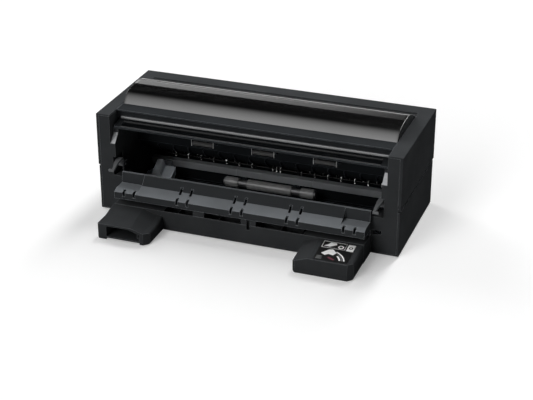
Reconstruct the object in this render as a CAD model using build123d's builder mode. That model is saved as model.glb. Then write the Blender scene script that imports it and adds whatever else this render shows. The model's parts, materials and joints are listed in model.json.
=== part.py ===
"""Roll-paper feeder that stands behind a wide desktop photo printer and docks to it.

The printer side is the front, towards -Y. +X is to the right seen from the printer, +Z is up.
The origin is at the centre of the whole part's footprint, on the surface that it stands on.
Most pieces are outlines seen from the side, carried along the width. Such an outline is given
by depths, measured back from the front plane of the case, and heights above the floor.
"""
from math import acos, atan2, cos, degrees, pi, radians, sin, sqrt, tan
import os

from build123d import *

# Overall size
case_width = 615.0
case_depth = 248.0
case_height = 205.0
foot_reach = 118.0
pad_height = 3.0

# Case walls and the seam between the two case halves
skin = 2.5
part_gap = 0.3
edge_round = 1.5
seam_height = 96.0
seam_gap = 3.0
corner_wrap = 6.0
seam_lip_wall = 1.6
seam_lip_rise = 9.0
seam_lip_start = 10.0
groove_start = 12.0
groove_rise = 3.5
lower_inset = 1.5

# Side boxes: width of each box at its top, below the step and beside the dock
side_band = 28.5
lower_band = 38.5
dock_band = 54.7
step_height = 145.0
ramp_depth = 17.0
ramp_rise = 19.0
dock_step_height = 79.0
dock_step_depth = 32.0
frame_depth = 240.0

# Front trim under the cover
fascia_front = 32.5
fascia_step = 5.5
ceiling_rear = 99.8
bar_front = 33.8
bar_drop = 19.0
bar_height = 5.3
bar_inset = 8.7
ledge_front = 11.8
ledge_lip_drop = 1.3
ledge_nose_drop = 7.9
ledge_nose_depth = 3.5
ceiling_drop = 6.1
ledge_inset = 3.7
ledge_panel_inset = 13.3
ledge_panel_margin = 1.6
ledge_panel_thickness = 1.0

# Roll cover
cover_front = 65.0
cover_rear = 196.5
cover_rise = 22.0
cover_skin = 2.5
cover_end_gap = 0.6
knuckle_radius = 7.0
knuckle_gap = 1.2
cover_pin_radius = 3.0
cover_boss_length = 14.0
deck_start = 213.0
deck_chamfer = 2.0
cover_shelf = 7.0

# Running fits and shafts
running_clearance = 0.05
body_clearance = 0.5

# Roll chamber
roll_radius = 60.0
chamber_clearance = 2.0
chamber_depth = 168.0
chamber_height = 140.0
trough_skin = 2.5
trough_front_angle = 62.0
trough_rear_top = 186.0
paper_slot_angle = 53.0
paper_slot_width = 8.0
paper_slot_reach = 222.0
rib_pitch = 32.6
rib_count = 15
rib_width = 2.0
rib_height = 3.0

# Panel in front of the chamber, with a roller in each of its windows
panel_depth = 102.0
panel_bottom = 114.0
panel_rise = 1.0
panel_lip = 7.0
window_pitch = 127.5
window_width = 45.0
window_bottom = 117.5
window_height = 13.5
window_frame = 1.8
window_frame_rise = 1.0
window_roller_radius = 4.5
window_roller_pin_radius = 1.5
window_ear = 2.0

# Driven roller under the roll
drive_angle = 25.0
drive_radius = 7.0
drive_shaft_radius = 3.0
drive_sleeve_length = 40.0
drive_sleeve_pitch = 120.0
bush_wall = 1.8
bush_flange = 1.5

# Star wheels that hold the paper down on the rail
star_front_depth = 185.0
star_row_gap = 13.0
star_paper_gap = 1.0
star_tip_radius = 5.5
star_root_radius = 3.6
star_teeth = 8
star_thickness = 1.0
star_shaft_radius = 1.5
star_bank_inner = 53.0
star_bank_count = 7
star_centre_count = 3
star_centre_pitch = 8.0
carrier_height = 66.0
carrier_cheek = 2.0
star_side_gap = 27.7
star_shaft_end = 6.0

# Cross rail and the wall behind it
rail_depth = 168.0
rail_bottom = 33.0
rail_top = 47.0
rail_width = 14.0
rail_seam = 82.0
rail_joint_gap = 0.4
bed_margin = 6.0
largest_turn_radius = 30.0
wall_gap = 4.0
wall_foot = 8.0

# Free roller in front of the rail
idle_depth = 142.6
idle_height = 31.0
idle_radius = 10.0
idle_tube_radius = 8.0
idle_reach = 94.0
idle_gap_centre = 56.5
idle_gap = 19.0
idle_bracket_width = 14.0
idle_bracket_ring = 3.0

# Sliding edge guide: it serves rolls from 17 inch down to 13 inch
guide_side_gap = 2.7
guide_length = 63.0
guide_back = 138.0
guide_forward = 26.0
guide_drop = 14.0
guide_plate_height = 47.0
guide_wall_height = 59.0
guide_wall_width = 19.0
guide_plate_width = 23.0
guide_base_height = 30.0
guide_arm_length = 20.0
guide_jaw = 3.0
guide_jaw_rise = 10.0

# Front guide: the sloping shelf with slots
crest_depth = -8.2
crest_height = 93.2
crest_width = 4.7
crease_depth = -23.7
crease_height = 76.8
shelf_front = -47.3
shelf_edge_height = 67.8
shelf_face = 13.9
shelf_side_gap = 0.5
shelf_centre_reach = 204.0
end_recess_depth = -11.4
end_recess_height = 71.5
end_strip = 11.3
slot_width = 5.0
slot_pair = 21.4
slot_pitch = 111.0
slot_run = 9.5
slot_drop = 8.0

# Front base and feet
base_reach = 47.0
base_top = 42.0
base_back_wall = 8.0
tray_left = 150.0
tray_right = 134.0
tray_rib_pitch = 42.0
tray_rib_count = 7
tray_rib_top = 34.0
post_depth = 8.0
left_post_x = 77.0
left_post_width = 22.0
base_slot_x = 24.5
centre_post_width = 29.0
base_slot_width = 7.0
base_slot_depth = 10.0
foot_base = 1.0
foot_top = 34.0
foot_back_top = 41.0
foot_low_height = 24.0
foot_round = 4.0
left_foot_overlap = 4.2
left_foot_inner = 151.0
left_foot_ridge = 192.0
left_foot_valley = 163.0
left_foot_crease = 82.0
left_foot_bevel_drop = 1.8
right_foot_side_gap = 1.0
right_foot_inner = 136.0
right_foot_ridge = 165.6
pocket_leg = 19.0
pocket_right = 170.0
pocket_floor = 7.5
pocket_plate = 3.0
pocket_roof = 29.0
pocket_depth = 58.0
pocket_rib_x = 178.0
label_left = 175.5
label_right = 240.0
label_front = 114.0
label_back = 51.0
label_thickness = 0.4
pad_length = 15.0
pad_inset = 24.0
foot_pad_length = 12.0
foot_pad_width = 9.0

# Docking hooks
hook_inset = 8.0
hook_width = 11.0
hook_tip_depth = -28.0
hook_tip_height = 103.0
hook_bar_height = 111.5
hook_web = 3.0
hook_pivot_depth = 18.0
hook_pivot_height = 98.0
hook_pin_radius = 2.5
hook_slot_top = 118.0
hook_cheek = 2.5
hook_side_gap = 1.5
hook_spring_gap = 2.8
spring_wire = 0.6
spring_pitch = 0.75
spring_turns = 1.75

# Gear train in the right side box, in modules and teeth
gear_module = 1.0
pinion_teeth = 12
wheel_teeth = 36
small_teeth = 14
drive_teeth = 30
gear_face = 5.0
gear_start = 4.0
mesh_relief = 0.12
small_direction = 215.0
pinion_direction = 190.0
stud_radius = 2.0
motor_radius = 13.0
motor_length = 16.0
motor_shaft_radius = 1.0

# Fasteners and electronics
board_width = 1.6
board_depth = 90.0
board_height = 60.0
connector_width = 12.0
connector_height = 8.0
connector_depth = 10.0
connector_wall = 1.4
dock_recess_depth = 5.0
clip_notch_width = 1.3
clip_notch_height = 5.5
clip_notch_rise = 4.5

# Places that follow from the sizes above
half_width = case_width / 2
lower_half_width = half_width - lower_inset
front_y = foot_reach - (case_depth + foot_reach) / 2
seam_top = seam_height + seam_gap / 2
seam_bottom = seam_height - seam_gap / 2
floor_top = pad_height + skin
upper_wall = half_width - side_band
lower_wall = half_width - lower_band
dock_wall = half_width - dock_band
pillar_edge = half_width - corner_wrap
span = lower_wall - part_gap
fascia_wall = fascia_front + fascia_step
hinge_depth = deck_start - knuckle_gap - knuckle_radius
hinge_height = case_height - knuckle_radius
cover_reach = upper_wall - cover_end_gap
cover_edge = case_height - cover_skin + part_gap
trough_inner = roll_radius + chamber_clearance
trough_outer = trough_inner + trough_skin
drive_orbit = roll_radius + drive_radius + 0.5
drive_depth = chamber_depth + drive_orbit * sin(radians(drive_angle))
drive_height = chamber_height - drive_orbit * cos(radians(drive_angle))
star_height = rail_top + star_paper_gap + star_tip_radius
bar_bottom = case_height - bar_drop
panel_top = bar_bottom + panel_rise
bar_reach = upper_wall - bar_inset
ledge_top_height = bar_bottom - ledge_lip_drop
ledge_nose_height = bar_bottom - ledge_nose_drop
ledge_reach = upper_wall - ledge_inset
ledge_panel_reach = ledge_reach - ledge_panel_inset
ceiling_height = ledge_nose_height - ceiling_drop
star_rear_depth = star_front_depth + star_row_gap
star_end = span - star_side_gap
star_pitch = (star_end - star_shaft_end - star_bank_inner) / (star_bank_count - 0.5)
cheek_spacing = star_bank_count * star_pitch
bed_end = star_rear_depth + bed_margin
turn_radius = min(largest_turn_radius, case_depth - 2 * skin - part_gap - bed_end)
guide_left = span - guide_side_gap
shelf_reach = dock_wall - shelf_side_gap
left_foot_outer = dock_wall + left_foot_overlap
right_foot_outer = dock_wall - right_foot_side_gap
pocket_left = left_foot_outer - pocket_leg
hook_inner = lower_wall - hook_inset


def at(depth, height):
    """The (y, z) point at a depth behind the front plane and a height above the floor."""
    return (front_y + depth, height)


def outline(points, x):
    """A face seen from the side, through (depth, height) points, at one place along the width."""
    with BuildSketch(Plane.YZ.offset(x)) as side:
        with BuildLine():
            Polyline(*[at(depth, height) for depth, height in points], close=True)
        make_face()
    return side.sketch


def prism(points, x_low, x_high, mode=Mode.ADD):
    """Carry a side outline along the width, inside the part that is being built."""
    extrude(outline(points, x_low), amount=x_high - x_low, mode=mode)


def block(x_span, depth_span, height_span, mode=Mode.ADD):
    """A box between two places along the width, two depths and two heights."""
    x_low, x_high = x_span
    depth_low, depth_high = depth_span
    height_low, height_high = height_span
    middle = (
        (x_low + x_high) / 2,
        front_y + (depth_low + depth_high) / 2,
        (height_low + height_high) / 2,
    )
    with Locations(middle):
        Box(x_high - x_low, depth_high - depth_low, height_high - height_low, mode=mode)


def rod(depth, height, radius, x_low, x_high, mode=Mode.ADD):
    """A round bar or hole along the width."""
    with BuildSketch(Plane.YZ.offset(x_low)) as disc:
        with Locations(at(depth, height)):
            Circle(radius)
    extrude(disc.sketch, amount=x_high - x_low, mode=mode)


def bead(depth, height, inner, outer, start, sweep, x_low, x_high, mode=Mode.ADD):
    """A curved wall along the width: a ring sector about an axis, from an angle in degrees.

    The angle is 0 towards the back and 90 straight up.
    """
    steps = [start, start + sweep / 2, start + sweep]
    near = [polar(depth, height, inner, angle) for angle in steps]
    far = [polar(depth, height, outer, angle) for angle in steps]
    with BuildSketch(Plane.YZ.offset(x_low)) as sector:
        with BuildLine():
            ThreePointArc(*near)
            Line(near[2], far[2])
            ThreePointArc(*far)
            Line(far[0], near[0])
        make_face()
    extrude(sector.sketch, amount=x_high - x_low, mode=mode)


def polar(depth, height, radius, angle):
    """The (y, z) point at a radius and an angle about an axis that runs along the width."""
    y, z = at(depth, height)
    return (y + radius * cos(radians(angle)), z + radius * sin(radians(angle)))


def pitch_radius(teeth):
    """Pitch radius of a gear."""
    return teeth * gear_module / 2


def gear_outline(depth, height, teeth, first_tooth, x):
    """A spur gear seen from the side, with involute flanks of three points each.

    first_tooth is the angle in degrees at which the middle of one tooth lies.
    """
    pressure = radians(20)
    pitch = pitch_radius(teeth)
    base = pitch * cos(pressure)
    root = pitch - 1.25 * gear_module
    tip = pitch + 0.9 * gear_module
    half_tooth = 0.43 * pi / teeth

    def half_angle(radius):
        slope = acos(base / max(radius, base))
        involute_here = tan(slope) - slope
        involute_pitch = tan(pressure) - pressure
        return half_tooth + involute_pitch - involute_here

    flank = [(root, half_angle(root)), (pitch, half_angle(pitch)), (tip, half_angle(tip))]
    points = []
    for tooth in range(teeth):
        middle = radians(first_tooth) + 2 * pi * tooth / teeth
        for radius, angle in flank:
            points.append(polar(depth, height, radius, degrees(middle - angle)))
        for radius, angle in reversed(flank):
            points.append(polar(depth, height, radius, degrees(middle + angle)))
    with BuildSketch(Plane.YZ.offset(x)) as side:
        with BuildLine():
            Polyline(*points, close=True)
        make_face()
    return side.sketch


def gear(depth, height, teeth, first_tooth, x_low, x_high):
    """Add a spur gear to the part that is being built."""
    extrude(gear_outline(depth, height, teeth, first_tooth, x_low), amount=x_high - x_low)


def direction(start, end):
    """The angle in degrees from one (depth, height) axis to another."""
    return degrees(atan2(end[1] - start[1], end[0] - start[0]))


# Upper half of the case: the deck, both side bands and the rear wall, open below

with BuildPart() as upper_case:
    block((-half_width, half_width), (0, case_depth), (seam_top, case_height))
    fillet(upper_case.edges().filter_by(Axis.Z), edge_round)
    fillet(upper_case.faces().sort_by(Axis.Z)[-1].edges(), edge_round)
    block(
        (-half_width + skin, half_width - skin),
        (skin, case_depth - skin),
        (seam_top - 1, case_height - skin),
        Mode.SUBTRACT,
    )
    block(
        (-pillar_edge, pillar_edge),
        (-1, skin + 1),
        (seam_top - 1, case_height - skin),
        Mode.SUBTRACT,
    )
    block(
        (-upper_wall, upper_wall),
        (-1, deck_start),
        (case_height - skin - 1, case_height + 1),
        Mode.SUBTRACT,
    )
    prism(
        [
            (deck_start - 1, case_height + 1),
            (deck_start + deck_chamfer + 1, case_height + 1),
            (deck_start - 1, case_height - deck_chamfer - 1),
        ],
        -upper_wall,
        upper_wall,
        Mode.SUBTRACT,
    )

# The groove between the halves is taller along the sides and the back than at the front corners
groove = (seam_top - 1, seam_top + groove_rise)
with upper_case:
    for side in (-1, 1):
        across = sorted((side * (half_width - skin - 1), side * (half_width + 1)))
        block(across, (groove_start, case_depth + 1), groove, Mode.SUBTRACT)
    block((-half_width, half_width), (case_depth - skin - 1, case_depth + 1), groove, Mode.SUBTRACT)

# Lower half of the case: floor, sides and rear wall, with a lip that rises behind the groove

lip_outer = skin + part_gap
lip_inner = lip_outer + seam_lip_wall
with BuildPart() as lower_case:
    block((-lower_half_width, lower_half_width), (0, case_depth), (pad_height, seam_bottom))
    fillet(lower_case.edges().filter_by(Axis.Z), edge_round)
    block(
        (-lower_half_width + skin, lower_half_width - skin),
        (skin, case_depth - skin),
        (floor_top, seam_bottom + 1),
        Mode.SUBTRACT,
    )
    block(
        (-lower_half_width + skin, lower_half_width - skin),
        (skin, case_depth - skin),
        (seam_bottom - seam_lip_rise, seam_bottom),
    )
    block(
        (-half_width + lip_outer, half_width - lip_outer),
        (lip_outer, case_depth - lip_outer),
        (seam_bottom, seam_top + seam_lip_rise),
    )
    block(
        (-half_width + lip_inner, half_width - lip_inner),
        (lip_inner, case_depth - lip_inner),
        (seam_bottom - seam_lip_rise - 1, seam_top + seam_lip_rise + 1),
        Mode.SUBTRACT,
    )
    block(
        (-pillar_edge, pillar_edge),
        (-1, lip_inner + 1),
        (floor_top, seam_top + seam_lip_rise + 1),
        Mode.SUBTRACT,
    )
    block(
        (-half_width - 1, half_width + 1),
        (-1, seam_lip_start),
        (seam_bottom, seam_top + seam_lip_rise + 1),
        Mode.SUBTRACT,
    )

# Side frames: the inner walls and front pillars, full height, with a step, a ramp and a dock shelf

frame_base = floor_top
frame_top = case_height - skin - part_gap
chamber_wall_top = cover_edge - 3.3
hinge_notch_front = hinge_depth - 20
hinge_notch_floor = hinge_height - knuckle_radius - 4

thin_outline = [
    (0, frame_base),
    (0, frame_top),
    (frame_depth, frame_top),
    (frame_depth, frame_base),
]
thick_outline = [
    (0, frame_base),
    (0, step_height),
    (ramp_depth, step_height + ramp_rise),
    (ramp_depth, ceiling_height),
    (ceiling_rear + part_gap, ceiling_height),
    (ceiling_rear + part_gap, chamber_wall_top),
    (hinge_notch_front, chamber_wall_top),
    (hinge_notch_front, hinge_notch_floor),
    (frame_depth, hinge_notch_floor),
    (frame_depth, frame_base),
]


def hollow(points, x_low, x_high):
    """Hollow out the inside of a side outline, leaving the skin round it."""
    inner = offset(outline(points, x_low), amount=-skin, mode=Mode.PRIVATE)
    extrude(inner, amount=x_high - x_low, mode=Mode.SUBTRACT)


def side_frame_shell():
    """The right-hand side frame, without what differs between left and right."""
    outer = pillar_edge - part_gap
    with BuildPart() as frame:
        prism(thin_outline, upper_wall, outer)
        prism(thick_outline, lower_wall, outer)
        block((dock_wall, lower_wall), (0, dock_step_depth), (frame_base, dock_step_height))
        hollow(thin_outline, upper_wall + skin, outer)
        hollow(thick_outline, lower_wall + skin, outer)
        block(
            (dock_wall + skin, lower_wall + skin),
            (skin, dock_step_depth - skin),
            (frame_base + skin, dock_step_height - skin),
            Mode.SUBTRACT,
        )
        block(
            (lower_wall - 1, hook_inner + hook_width + hook_spring_gap),
            (-1, dock_step_depth + 1),
            (dock_step_height, hook_slot_top),
            Mode.SUBTRACT,
        )
        cheek_outer = hook_inner - hook_side_gap
        block(
            (cheek_outer - hook_cheek, cheek_outer),
            (hook_pivot_depth - 8, hook_pivot_depth + 8),
            (dock_step_height, hook_pivot_height + 6),
        )
        far_cheek = hook_inner + hook_width + hook_spring_gap
        block(
            (far_cheek, far_cheek + hook_cheek),
            (skin, dock_step_depth + skin),
            (dock_step_height - skin, hook_slot_top + skin),
        )
        block(
            (lower_wall + skin, far_cheek),
            (skin, dock_step_depth + skin),
            (hook_slot_top, hook_slot_top + skin),
        )
        rod(hook_pivot_depth, hook_pivot_height, hook_pin_radius, dock_wall, outer, Mode.SUBTRACT)
        hinge_boss = knuckle_radius - 1.5
        rod(hinge_depth, hinge_height - 1, hinge_boss, upper_wall, upper_wall + skin + 5)
        rod(hinge_depth, hinge_height, cover_pin_radius, upper_wall, outer, Mode.SUBTRACT)
        bush_hole = drive_shaft_radius + running_clearance + bush_wall
        rod(drive_depth, drive_height, bush_hole, lower_wall - 1, lower_wall + skin + 1, Mode.SUBTRACT)
    return frame


right_shell = side_frame_shell()
drive_axis = (drive_depth, drive_height)
small_distance = pitch_radius(small_teeth) + pitch_radius(drive_teeth) + mesh_relief
pinion_distance = pitch_radius(pinion_teeth) + pitch_radius(wheel_teeth) + mesh_relief
idler_axis = (
    drive_depth + small_distance * cos(radians(small_direction)),
    drive_height + small_distance * sin(radians(small_direction)),
)
motor_axis = (
    idler_axis[0] + pinion_distance * cos(radians(pinion_direction)),
    idler_axis[1] + pinion_distance * sin(radians(pinion_direction)),
)

with BuildPart() as right_side_frame:
    add(right_shell.part)
    stud_boss = stud_radius + 2
    rod(*idler_axis, stud_boss, lower_wall + skin, lower_wall + skin + gear_start - part_gap)
    rod(*idler_axis, stud_radius, lower_wall, lower_wall + skin + gear_start, Mode.SUBTRACT)

with BuildPart() as left_side_frame:
    mirror(right_shell.part, about=Plane.YZ)

# Front trim: fascia, glossy bar, ledge with its glossy panel

fascia_rear = cover_front - part_gap
fascia_shelf = cover_edge - part_gap
with BuildPart() as front_fascia:
    prism(
        [
            (fascia_front, case_height),
            (fascia_rear, case_height),
            (fascia_rear, fascia_shelf),
            (fascia_rear + cover_shelf, fascia_shelf),
            (fascia_rear + cover_shelf, fascia_shelf - skin),
            (fascia_wall + skin, fascia_shelf - skin),
            (fascia_wall + skin, ledge_top_height),
            (fascia_wall, ledge_top_height),
            (fascia_wall, case_height - skin),
            (fascia_front, case_height - skin),
        ],
        -cover_reach,
        cover_reach,
    )

with BuildPart() as front_trim_bar:
    prism(
        [
            (bar_front, bar_bottom),
            (bar_front, bar_bottom + bar_height),
            (fascia_wall, bar_bottom + bar_height),
            (fascia_wall, bar_bottom),
        ],
        -bar_reach,
        bar_reach,
    )
    bar_edges = front_trim_bar.edges().filter_by(Axis.X).group_by(Axis.Y)[0]
    fillet(bar_edges, 1.5)

ledge_rear = fascia_wall + skin
ledge_under = ceiling_height + skin
with BuildPart() as front_ledge:
    prism(
        [
            (ledge_front, ledge_nose_height),
            (ledge_rear, ledge_top_height - part_gap),
            (ledge_rear, ledge_top_height - part_gap - skin),
            (ledge_front + skin + 1, ledge_nose_height - skin),
            (ledge_front + skin + 1, ledge_under),
            (ceiling_rear, ledge_under),
            (ceiling_rear, ceiling_height),
            (ledge_front + skin + 1, ceiling_height),
            (ledge_front, ledge_nose_height - ledge_nose_depth),
        ],
        -ledge_reach,
        ledge_reach,
    )

slope_rise = ledge_top_height - part_gap - ledge_nose_height
slope_run = ledge_rear - ledge_front


def slope_height(depth):
    """Height of the ledge's sloping top at a depth."""
    return ledge_nose_height + slope_rise * (depth - ledge_front) / slope_run


panel_front = ledge_front + ledge_panel_margin
panel_rear = bar_front - ledge_panel_margin / 2
with BuildPart() as ledge_panel:
    prism(
        [
            (panel_front, slope_height(panel_front)),
            (panel_rear, slope_height(panel_rear)),
            (panel_rear, slope_height(panel_rear) + ledge_panel_thickness),
            (panel_front, slope_height(panel_front) + ledge_panel_thickness),
        ],
        -ledge_panel_reach,
        ledge_panel_reach,
    )

# Roll cover: a bowed shell with closed ends and a rolled hinge edge

crown = case_height + cover_rise
with BuildPart() as roll_cover:
    with BuildSketch(Plane.YZ.offset(-cover_reach)):
        with BuildLine():
            Spline(
                at(cover_front, cover_edge),
                at(cover_front + 15, case_height + 0.67 * cover_rise),
                at(cover_front + 38, case_height + 0.93 * cover_rise),
                at(cover_front + 75, crown),
                at(cover_rear - 28, case_height + 0.62 * cover_rise),
                at(cover_rear, case_height),
                tangents=((0.5, 0.87), (0.9, -0.44)),
            )
            Line(at(cover_rear, case_height), at(cover_rear, cover_edge))
            Line(at(cover_rear, cover_edge), at(cover_front, cover_edge))
        make_face()
    extrude(amount=2 * cover_reach)
    offset(amount=-cover_skin, openings=roll_cover.faces().sort_by(Axis.Z)[0])
    flange_start = cover_rear - cover_skin
    flange_under = case_height - cover_skin
    block((-cover_reach, cover_reach), (flange_start, hinge_depth), (flange_under, case_height))
    knuckle_inner = knuckle_radius - cover_skin
    knuckle = (hinge_depth, hinge_height, knuckle_inner, knuckle_radius, -45, 135)
    bead(*knuckle, -cover_reach, cover_reach)
    boss_start = cover_reach - cover_boss_length
    for x_low, x_high in ((-cover_reach, -boss_start), (boss_start, cover_reach)):
        rod(hinge_depth, hinge_height, knuckle_radius, x_low, x_high)
        pin_hole = cover_pin_radius + running_clearance
        rod(hinge_depth, hinge_height, pin_hole, x_low - 1, x_high + 1, Mode.SUBTRACT)

with BuildPart() as cover_hinge_pins:
    for side in (-1, 1):
        pin_ends = sorted((side * (cover_reach - cover_boss_length + 2), side * (upper_wall + skin + 4)))
        rod(hinge_depth, hinge_height, cover_pin_radius, *pin_ends)

# Panel in front of the roll chamber, with framed windows and ears for their rollers

window_centres = [-window_pitch, 0.0, window_pitch]
window_top = window_bottom + window_height
panel_back = panel_depth + skin
window_roller_height = window_bottom + window_roller_radius + body_clearance
window_orbit = roll_radius + window_roller_radius + 0.3
roller_drop = chamber_height - window_roller_height
window_roller_depth = chamber_depth - sqrt(window_orbit**2 - roller_drop**2)
funnel_front = fascia_rear + cover_shelf + part_gap
funnel_top = fascia_shelf
ear_reach = window_roller_depth + window_roller_pin_radius + 2

with BuildPart() as chamber_front_panel:
    prism(
        [
            (funnel_front, funnel_top),
            (panel_back, panel_top),
            (panel_back, panel_bottom + 1),
            (panel_back + panel_lip - skin, panel_bottom - 1.5),
            (panel_back + panel_lip - skin, panel_bottom - 3.5),
            (panel_depth, panel_bottom),
            (panel_depth, panel_top - 1),
            (funnel_front, funnel_top - skin),
        ],
        -span,
        span,
    )
    for centre in window_centres:
        frame_half = window_width / 2 + window_frame
        block(
            (centre - frame_half, centre + frame_half),
            (panel_depth - window_frame_rise, panel_depth),
            (window_bottom, window_top + window_frame),
        )
        block(
            (centre - window_width / 2, centre + window_width / 2),
            (panel_depth - 5, panel_back + 5),
            (window_bottom, window_top),
            Mode.SUBTRACT,
        )
        notch = centre + frame_half + 2
        block((notch, notch + 6), (panel_depth - 1, panel_back + 1), (window_top - 4, window_top), Mode.SUBTRACT)
        for side in (-1, 1):
            ear = sorted((centre + side * window_width / 2, centre + side * (window_width / 2 + window_ear)))
            block(ear, (panel_depth + 1, ear_reach), (window_roller_height - 4, window_roller_height + 4))
        hole_reach = window_width / 2 + window_ear + 1
        rod(
            window_roller_depth,
            window_roller_height,
            window_roller_pin_radius,
            centre - hole_reach,
            centre + hole_reach,
            Mode.SUBTRACT,
        )


def window_roller(centre):
    """A short roller with a bore for its pin."""
    reach = window_width / 2 - body_clearance
    with BuildPart() as roller:
        rod(window_roller_depth, window_roller_height, window_roller_radius, centre - reach, centre + reach)
        bore = window_roller_pin_radius + running_clearance
        rod(window_roller_depth, window_roller_height, bore, centre - reach, centre + reach, Mode.SUBTRACT)
    return roller


window_roller_left = window_roller(window_centres[0])
window_roller_centre = window_roller(window_centres[1])
window_roller_right = window_roller(window_centres[2])

with BuildPart() as window_roller_pins:
    for centre in window_centres:
        reach = window_width / 2 + window_ear
        rod(window_roller_depth, window_roller_height, window_roller_pin_radius, centre - reach, centre + reach)

# Trough that the paper roll lies in, ribbed below, open over the driven sleeves and at the paper slot

sleeve_centres = [(index - 1.5) * drive_sleeve_pitch for index in range(4)]
bush_bore = drive_shaft_radius + running_clearance
bush_flange_radius = bush_bore + bush_wall + 1.5
with BuildPart() as roll_trough:
    trough_sweep = trough_front_angle + 90
    trough_start = -90 - trough_front_angle
    ring = (chamber_depth, chamber_height, trough_inner, trough_outer, trough_start, trough_sweep)
    bead(*ring, -span, span)
    rear_face = chamber_depth + trough_inner
    block((-span, span), (rear_face, rear_face + trough_skin), (chamber_height, trough_rear_top))
    rib_inner = trough_outer - 0.5
    rib_ring = (chamber_depth, chamber_height, rib_inner, trough_outer + rib_height, trough_start + 3, 48)
    for index in range(rib_count):
        x = (index - (rib_count - 1) / 2) * rib_pitch - rib_width / 2
        bead(*rib_ring, x, x + rib_width)
    for centre in sleeve_centres:
        opening = drive_sleeve_length / 2 + 2
        rod(
            drive_depth,
            drive_height,
            drive_radius + 1.5,
            centre - opening,
            centre + opening,
            Mode.SUBTRACT,
        )
    for side in (-1, 1):
        end_recess = sorted((side * (span - 2), side * (span + 1)))
        rod(drive_depth, drive_height, bush_flange_radius + body_clearance, *end_recess, Mode.SUBTRACT)
    half_slot = degrees(paper_slot_width / 2 / trough_inner)
    slot_start = paper_slot_angle - 90 - half_slot
    slot_ring = (chamber_depth, chamber_height, trough_inner - 2, trough_outer + 2, slot_start, 2 * half_slot)
    bead(*slot_ring, -paper_slot_reach, paper_slot_reach, Mode.SUBTRACT)

# Driven roller: steel shaft, rubber sleeves and its gear

gear_plane = lower_wall + skin + gear_start
drive_shaft_end = gear_plane + gear_face + 2
with BuildPart() as drive_shaft:
    rod(drive_depth, drive_height, drive_shaft_radius, -span - skin - 3, drive_shaft_end)

with BuildPart() as drive_sleeves:
    for centre in sleeve_centres:
        ends = (centre - drive_sleeve_length / 2, centre + drive_sleeve_length / 2)
        rod(drive_depth, drive_height, drive_radius, *ends)
        rod(drive_depth, drive_height, drive_shaft_radius, *ends, Mode.SUBTRACT)

with BuildPart() as shaft_bushes:
    for side in (-1, 1):
        sleeve = sorted((side * (lower_wall - bush_flange), side * (lower_wall + skin)))
        flange = sorted((side * (lower_wall - bush_flange), side * lower_wall))
        rod(drive_depth, drive_height, bush_bore + bush_wall, *sleeve)
        rod(drive_depth, drive_height, bush_flange_radius, *flange)
        rod(drive_depth, drive_height, bush_bore, *sleeve, Mode.SUBTRACT)

# Gear train: motor pinion, double idler and the roller's gear, in mesh at rest

small_plane = gear_plane
wheel_plane = gear_plane + gear_face + 0.5
to_idler = direction(drive_axis, idler_axis)
to_motor = direction(idler_axis, motor_axis)

with BuildPart() as drive_gear:
    gear(*drive_axis, drive_teeth, to_idler, gear_plane + 0.3, gear_plane + gear_face - 0.3)
    rod(*drive_axis, drive_shaft_radius + 2.5, gear_plane - 1.5, gear_plane + gear_face)
    rod(*drive_axis, drive_shaft_radius, gear_plane - 2, gear_plane + gear_face + 1, Mode.SUBTRACT)

with BuildPart() as idler_gear:
    small_phase = to_idler + 180 + 180 / small_teeth
    gear(*idler_axis, small_teeth, small_phase, small_plane, small_plane + gear_face + 0.5)
    gear(*idler_axis, wheel_teeth, to_motor, wheel_plane, wheel_plane + gear_face - 1)
    rod(
        *idler_axis,
        stud_radius + running_clearance,
        small_plane - 1,
        wheel_plane + gear_face,
        Mode.SUBTRACT,
    )

stud_end = wheel_plane + gear_face
with BuildPart() as idler_stud:
    rod(*idler_axis, stud_radius, lower_wall, stud_end)
    rod(*idler_axis, stud_radius + 1.5, stud_end - 0.7, stud_end + 0.5)

motor_front = wheel_plane + gear_face + 1
with BuildPart() as motor_pinion:
    pinion_phase = to_motor + 180 + 180 / pinion_teeth
    gear(*motor_axis, pinion_teeth, pinion_phase, wheel_plane, wheel_plane + gear_face - 1)
    rod(*motor_axis, motor_shaft_radius, wheel_plane - 0.5, motor_front + 3)

with BuildPart() as motor_body:
    rod(*motor_axis, motor_radius, motor_front, motor_front + motor_length)
    rod(*motor_axis, motor_radius - 9, motor_front - 0.8, motor_front)
    shaft_hole = motor_shaft_radius + running_clearance
    rod(*motor_axis, shaft_hole, motor_front - 1, motor_front + 4, Mode.SUBTRACT)

bracket_depth = (motor_axis[0] - motor_radius - 7, motor_axis[0] + motor_radius + 3)
bracket_height = (motor_axis[1] - motor_radius - 8, motor_axis[1] + motor_radius + 3)
with BuildPart() as motor_bracket:
    plate = (motor_front - 1.5 - 0.3, motor_front - part_gap)
    block(plate, bracket_depth, (frame_base + skin, motor_axis[1] - 7))
    block(plate, (bracket_depth[0], motor_axis[0] - 7), (frame_base + skin, bracket_height[1]))
    foot_plate = (lower_wall + skin, motor_front - part_gap)
    block(foot_plate, bracket_depth, (frame_base + skin, frame_base + skin + 1.5))
    rod(*motor_axis, pitch_radius(pinion_teeth) + 3, plate[0] - 1, plate[1] + 1, Mode.SUBTRACT)

# Star wheels and the carrier that hangs them over the rail


def star_outline(depth, height, x):
    """A thin wheel with pointed teeth, seen from the side."""
    points = []
    for tooth in range(star_teeth):
        angle = 360 * tooth / star_teeth
        points.append(polar(depth, height, star_tip_radius, angle))
        points.append(polar(depth, height, star_root_radius, angle + 180 / star_teeth))
    with BuildSketch(Plane.YZ.offset(x)) as side:
        with BuildLine():
            Polyline(*points, close=True)
        make_face()
    return side.sketch


def star_bank(offset_x):
    """Places of one shaft's wheels along the width: a left and a right bank."""
    bank = [star_bank_inner + offset_x + index * star_pitch for index in range(star_bank_count)]
    return [-x for x in bank] + bank


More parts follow.
